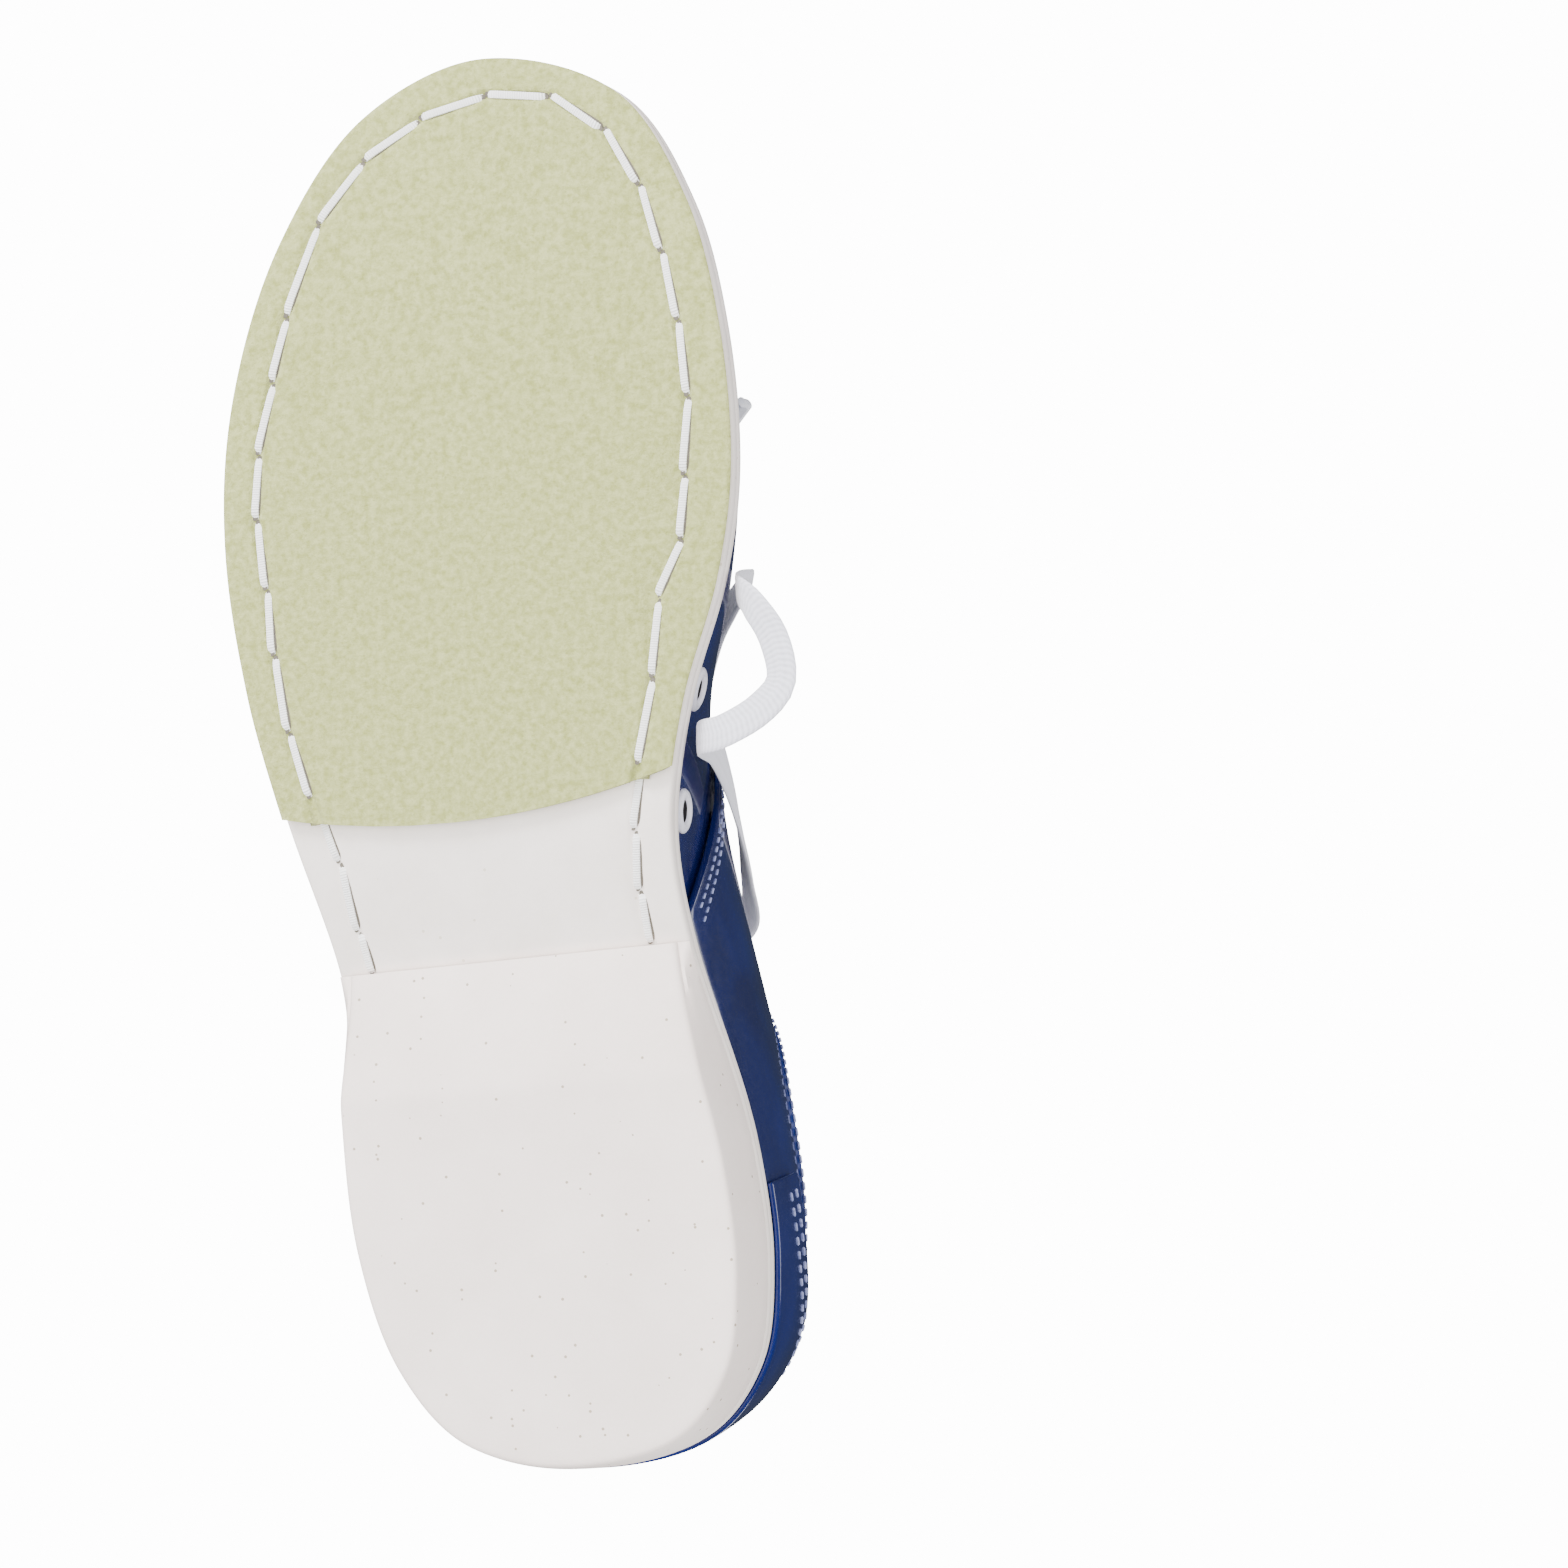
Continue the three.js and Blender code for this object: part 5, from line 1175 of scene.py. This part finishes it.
# ---------------------------------------------------------------------------
# Laced-up lace. The part that the eyelets hold crosses over the tongue five
# times; it is squeezed narrow where it passes through an eyelet.
wide, tight = (5.2, 1.2), (2.6, 1.8)
held_points = [(11.6, 46.5, 113.5, 0), (19.4, 42.7, 108.8, 0), (26.6, 42.9, 102.9, 1), (22.3, 44.8, 99.1, 1),
               (18.4, 46.6, 95.6, 1), (13.9, 43.9, 98, 0), (10.4, 43.9, 100.6, 0), (12, 41.5, 105.9, 0),
               (2.1, 35.2, 109.5, 0), (-13.6, 30.7, 105.3, 0), (-21.3, 27.8, 99.2, 1), (-17.4, 29.2, 94.8, 1),
               (-13.8, 30.6, 90.8, 1), (-9.7, 28.4, 92.6, 0), (-5.8, 28.7, 94.7, 0), (-6.5, 26.4, 100.2, 0),
               (1.4, 20.5, 102.6, 0), (15.7, 16.3, 98.1, 0), (23, 13.4, 91.5, 1), (19, 15.5, 87.4, 1),
               (15.4, 17.3, 83.7, 1), (10.9, 14.7, 85.5, 0), (7.1, 14.7, 87.7, 0), (8, 12.1, 93, 0),
               (0.8, 5.8, 95.2, 0), (-11.3, 1.1, 92.9, 0), (-19.1, -2, 89, 1), (-16.7, 0.3, 83.9, 1),
               (-14.5, 2.3, 79.3, 1), (-9.7, 0, 79.5, 0), (-5, 0, 80.8, 0), (-4.7, -2.7, 86.2, 0),
               (0.7, -8.8, 87.7, 0), (11.8, -13.3, 85.4, 0), (19.7, -16.2, 81.1, 1), (17, -14.1, 76.1, 1),
               (14.5, -12.2, 71.6, 1), (0.2, -12.1, 74.8, 0), (-14, -12, 72.8, 1), (-15.6, -14.2, 77.5, 1),
               (-17.3, -16.8, 82.8, 1), (-9.8, -13.5, 85.9, 0), (0.7, -7.8, 85.7, 0), (6.2, -2.6, 86, 0),
               (6.1, 0, 80.6, 0), (10.1, 0, 78.8, 0), (14.6, 2.4, 77.6, 1), (17.8, 0.7, 81.8, 1),
               (21.4, -1.3, 86.3, 1), (13.6, 1.5, 91.9, 0), (0.8, 6.8, 93.2, 0), (-5.7, 11.8, 93.4, 0),
               (-5.6, 14.4, 88, 0), (-9.9, 14.3, 86.3, 0), (-14.4, 16.5, 85.3, 1), (-17.3, 14.8, 89.6, 1),
               (-20.5, 12.9, 94.5, 1), (-12.6, 15.8, 99.5, 0), (1.4, 21.4, 100.6, 0), (10, 26.8, 99.7, 0),
               (8.7, 29.3, 94.4, 0), (12.3, 29.4, 92, 0), (16.9, 32, 89.8, 1), (20.6, 30.2, 93.3, 1),
               (24.8, 28.1, 97.3, 1), (17.8, 31.1, 104.3, 0), (2.1, 36.1, 107.4, 0), (-7.2, 41, 106.2, 0),
               (-5.8, 43, 100.7, 0), (-9.3, 42.7, 98.2, 0), (-13.4, 45, 95.9, 1), (-17.3, 43.9, 99.5, 1),
               (-21.7, 42.6, 103.5, 1), (-14.3, 42.3, 109.3, 0), (-5.6, 46.5, 113.5, 0)]
held_stops = [(x, y, z, 0, 0, 1, *(tight if narrow else wide)) for x, y, z, narrow in held_points]
held, _, _ = lace_band("lace_held_woven", held_stops, step=1.3, width_way=(0, 1, 0))
held.data.materials.append(lace_finish)
fitted(held, "shoe", "lace", "lace_held")

# ---------------------------------------------------------------------------
# Knot. The bow's centre: one turn of lace drawn tight round the folds of the two
# loops.
knot_centre = np.array([3.0, 44.0, 114.3])
strands = []
for shift, lean, span in ((0.0, 0.0, 5.6), (2.6, 0.16, 4.4)):
    turn_stops = []
    for angle in np.linspace(0.3, 2 * math.pi + 0.5, 15):
        out = np.array([lean * math.cos(angle), math.cos(angle), math.sin(angle)])
        point = knot_centre + np.array([shift - 1.3 + lean * 9 * math.cos(angle), 5.6 * math.cos(angle),
                                        3.75 * math.sin(angle)])
        turn_stops.append((*point, *out, span, 1.3))
    strands.append(lace_band("turn", turn_stops, step=1.2)[0])
for side in (-1, 1):
    fold_stops = [(3, 46.5, 113.2, 0, .4, 1, 5, 1.6), (3 + side * 3.5, 48.2, 113.6, 0, .5, .9, 5.6, 1.6),
                  (3 + side * 7, 47.6, 114.6, side * .5, .4, .8, 6, 1.6), (3 + side * 8.6, 44.4, 115.8, side * .6, 0,
                                                                           .8, 6.4, 1.5),
                  (3 + side * 6.4, 41.2, 114.2, side * .5, -.5, .8, 6, 1.6), (3 + side * 2.5, 40.2, 112.8, 0, -.5, .9,
                                                                              5, 1.6)]
    strands.append(lace_band("fold", fold_stops, step=1.2)[0])
core_stops = [(-3.5, 44, 113.2, 0, 0, 1, 7, 4.5), (3, 44, 114, 0, 0, 1, 8.5, 6), (9.5, 44, 113.2, 0, 0, 1, 7, 4.5)]
strands.append(lace_band("core", core_stops, step=1.2)[0])
for strand in strands:
    strand.data.materials.append(lace_finish)
knot = joined("lace_knot_wrapped", strands)
fitted(knot, "shoe", "lace", "lace_knot")

# ---------------------------------------------------------------------------
# Seam stitching. Fine pale thread in short even stitches along the edges of the
# quarters, the eyestays, the heel counter cover and the binding.
seam_thread = surfaced("seam_thread_pale", linear(166, 172, 216), linear(116, 124, 178), linear(84, 92, 140),
                       blotch=400.0, grain=3000.0, speck=900.0, speck_size=0.2, roughness=(0.5, 0.7), bump=0.4,
                       bump_depth=0.0001)


def stitch_row(name, q_line, v_line, depth, pitch=3.3, length=2.3, radius=0.28, body="shoe"):
    """Even stitches along a line on the last; each is one small thread capsule with its own mesh."""
    line = skin(np.asarray(q_line), np.asarray(v_line), np.broadcast_to(np.asarray(depth, float), np.shape(q_line)))
    outs = last_normal(np.asarray(q_line), np.asarray(v_line))
    run = np.concatenate([[0], np.cumsum(np.linalg.norm(np.diff(line, axis=0), axis=1))])
    bpy.ops.mesh.primitive_cylinder_add(vertices=6, radius=radius * MM, depth=length * 0.62 * MM,
                                        end_fill_type="TRIFAN")
    model = bpy.context.object
    for vertex in model.data.vertices:
        if abs(vertex.co.x) + abs(vertex.co.y) < 1e-9:
            vertex.co.z *= 1.5
    copies = []
    for centre in np.arange(pitch, run[-1] - pitch / 2, pitch):
        point, before, after = ([np.interp(at, run, line[:, k]) for k in range(3)] for at in (centre, centre - 0.6,
                                                                                              centre + 0.6))
        out = Vector([np.interp(centre, run, outs[:, k]) for k in range(3)]).normalized()
        along = (Vector(after) - Vector(before)).normalized()
        side = out.cross(along).normalized()
        turn = Matrix((side, along.cross(side), along)).transposed().to_4x4()
        stitch = model.copy()
        stitch.data = model.data.copy()
        stitch.data.transform(Matrix.Translation(Vector(point) * MM) @ turn)
        bpy.context.collection.objects.link(stitch)
        copies.append(stitch)
    bpy.data.objects.remove(model, do_unlink=True)
    row = joined(name, copies)
    bpy.ops.object.shade_smooth()
    row.data.materials.append(seam_thread)
    fitted(row, body, "thread")
    return row


for side, label in ((-1, "lateral"), (1, "medial")):
    r = np.linspace(0.04, 0.97, 120)
    for number, back in enumerate((0.0085, 0.017), 1):
        q_row = side * (front_of_quarter(r) - back)
        stitch_row(f"quarter_stitches_{label}_{number}", q_row, r * top_line(q_row), 1.75)
    q_row = side * t_at_station(np.linspace(100, 173, 90))
    edge = top_line(q_row)
    stitch_row(f"eyestay_stitches_{label}_outer", q_row, v_below(q_row, edge, 15.2), 3.55)
    stitch_row(f"eyestay_stitches_{label}_inner", q_row, v_below(q_row, edge, 2.0), 3.55)
counter_q = np.linspace(-0.97, 0.97, 160) * counter_reach
for number, lower in enumerate((0.025, 0.055), 1):
    stitch_row(f"counter_stitches_{number}", counter_q, counter_top(counter_q) - lower, 3.55)
binding_q = np.linspace(-binding_reach, binding_reach, 200) * 0.99
stitch_row("binding_stitches", binding_q, v_below(binding_q, top_line(binding_q), 2.2), 2.42, pitch=3.0)

# ---------------------------------------------------------------------------
# Hidden stiffening. Cork filler, steel shank, insole board, and the stiffeners
# of the toe and the heel are closed in between the sole and the linings.
cork = surfaced("bottom_filler_cork", linear(186, 146, 98), linear(142, 102, 62), linear(84, 56, 34),
                blotch=260.0, grain=700.0, speck=500.0, speck_size=0.3, roughness=(0.85, 1.0), bump=0.8,
                bump_depth=0.0005, stain_amount=0.8)
board = surfaced("insole_board", linear(190, 162, 122), linear(164, 134, 96), linear(120, 92, 62), blotch=150.0,
                 grain=1600.0, speck=1200.0, speck_size=0.2, roughness=(0.8, 0.95), bump=0.4, bump_depth=0.0002)
stiffener = surfaced("stiffener_board", linear(206, 200, 186), linear(178, 170, 152), linear(140, 130, 110),
                     blotch=120.0, grain=1900.0, speck=1100.0, speck_size=0.2, roughness=(0.8, 0.95), bump=0.4,
                     bump_depth=0.0002)
steel = surfaced("shank_steel", linear(150, 152, 158), linear(112, 114, 120), linear(70, 60, 52), blotch=180.0,
                 grain=2600.0, speck=600.0, speck_size=0.15, roughness=(0.28, 0.42), bump=0.15,
                 bump_depth=0.00005, Metallic=1.0)
for node, finish in (("bottom_filler", cork), ("shank", steel), ("insole_board", board), ("toe_puff", stiffener),
                     ("counter_stiffener", stiffener)):
    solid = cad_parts[node]
    solid.data.materials.clear()
    solid.data.materials.append(finish)
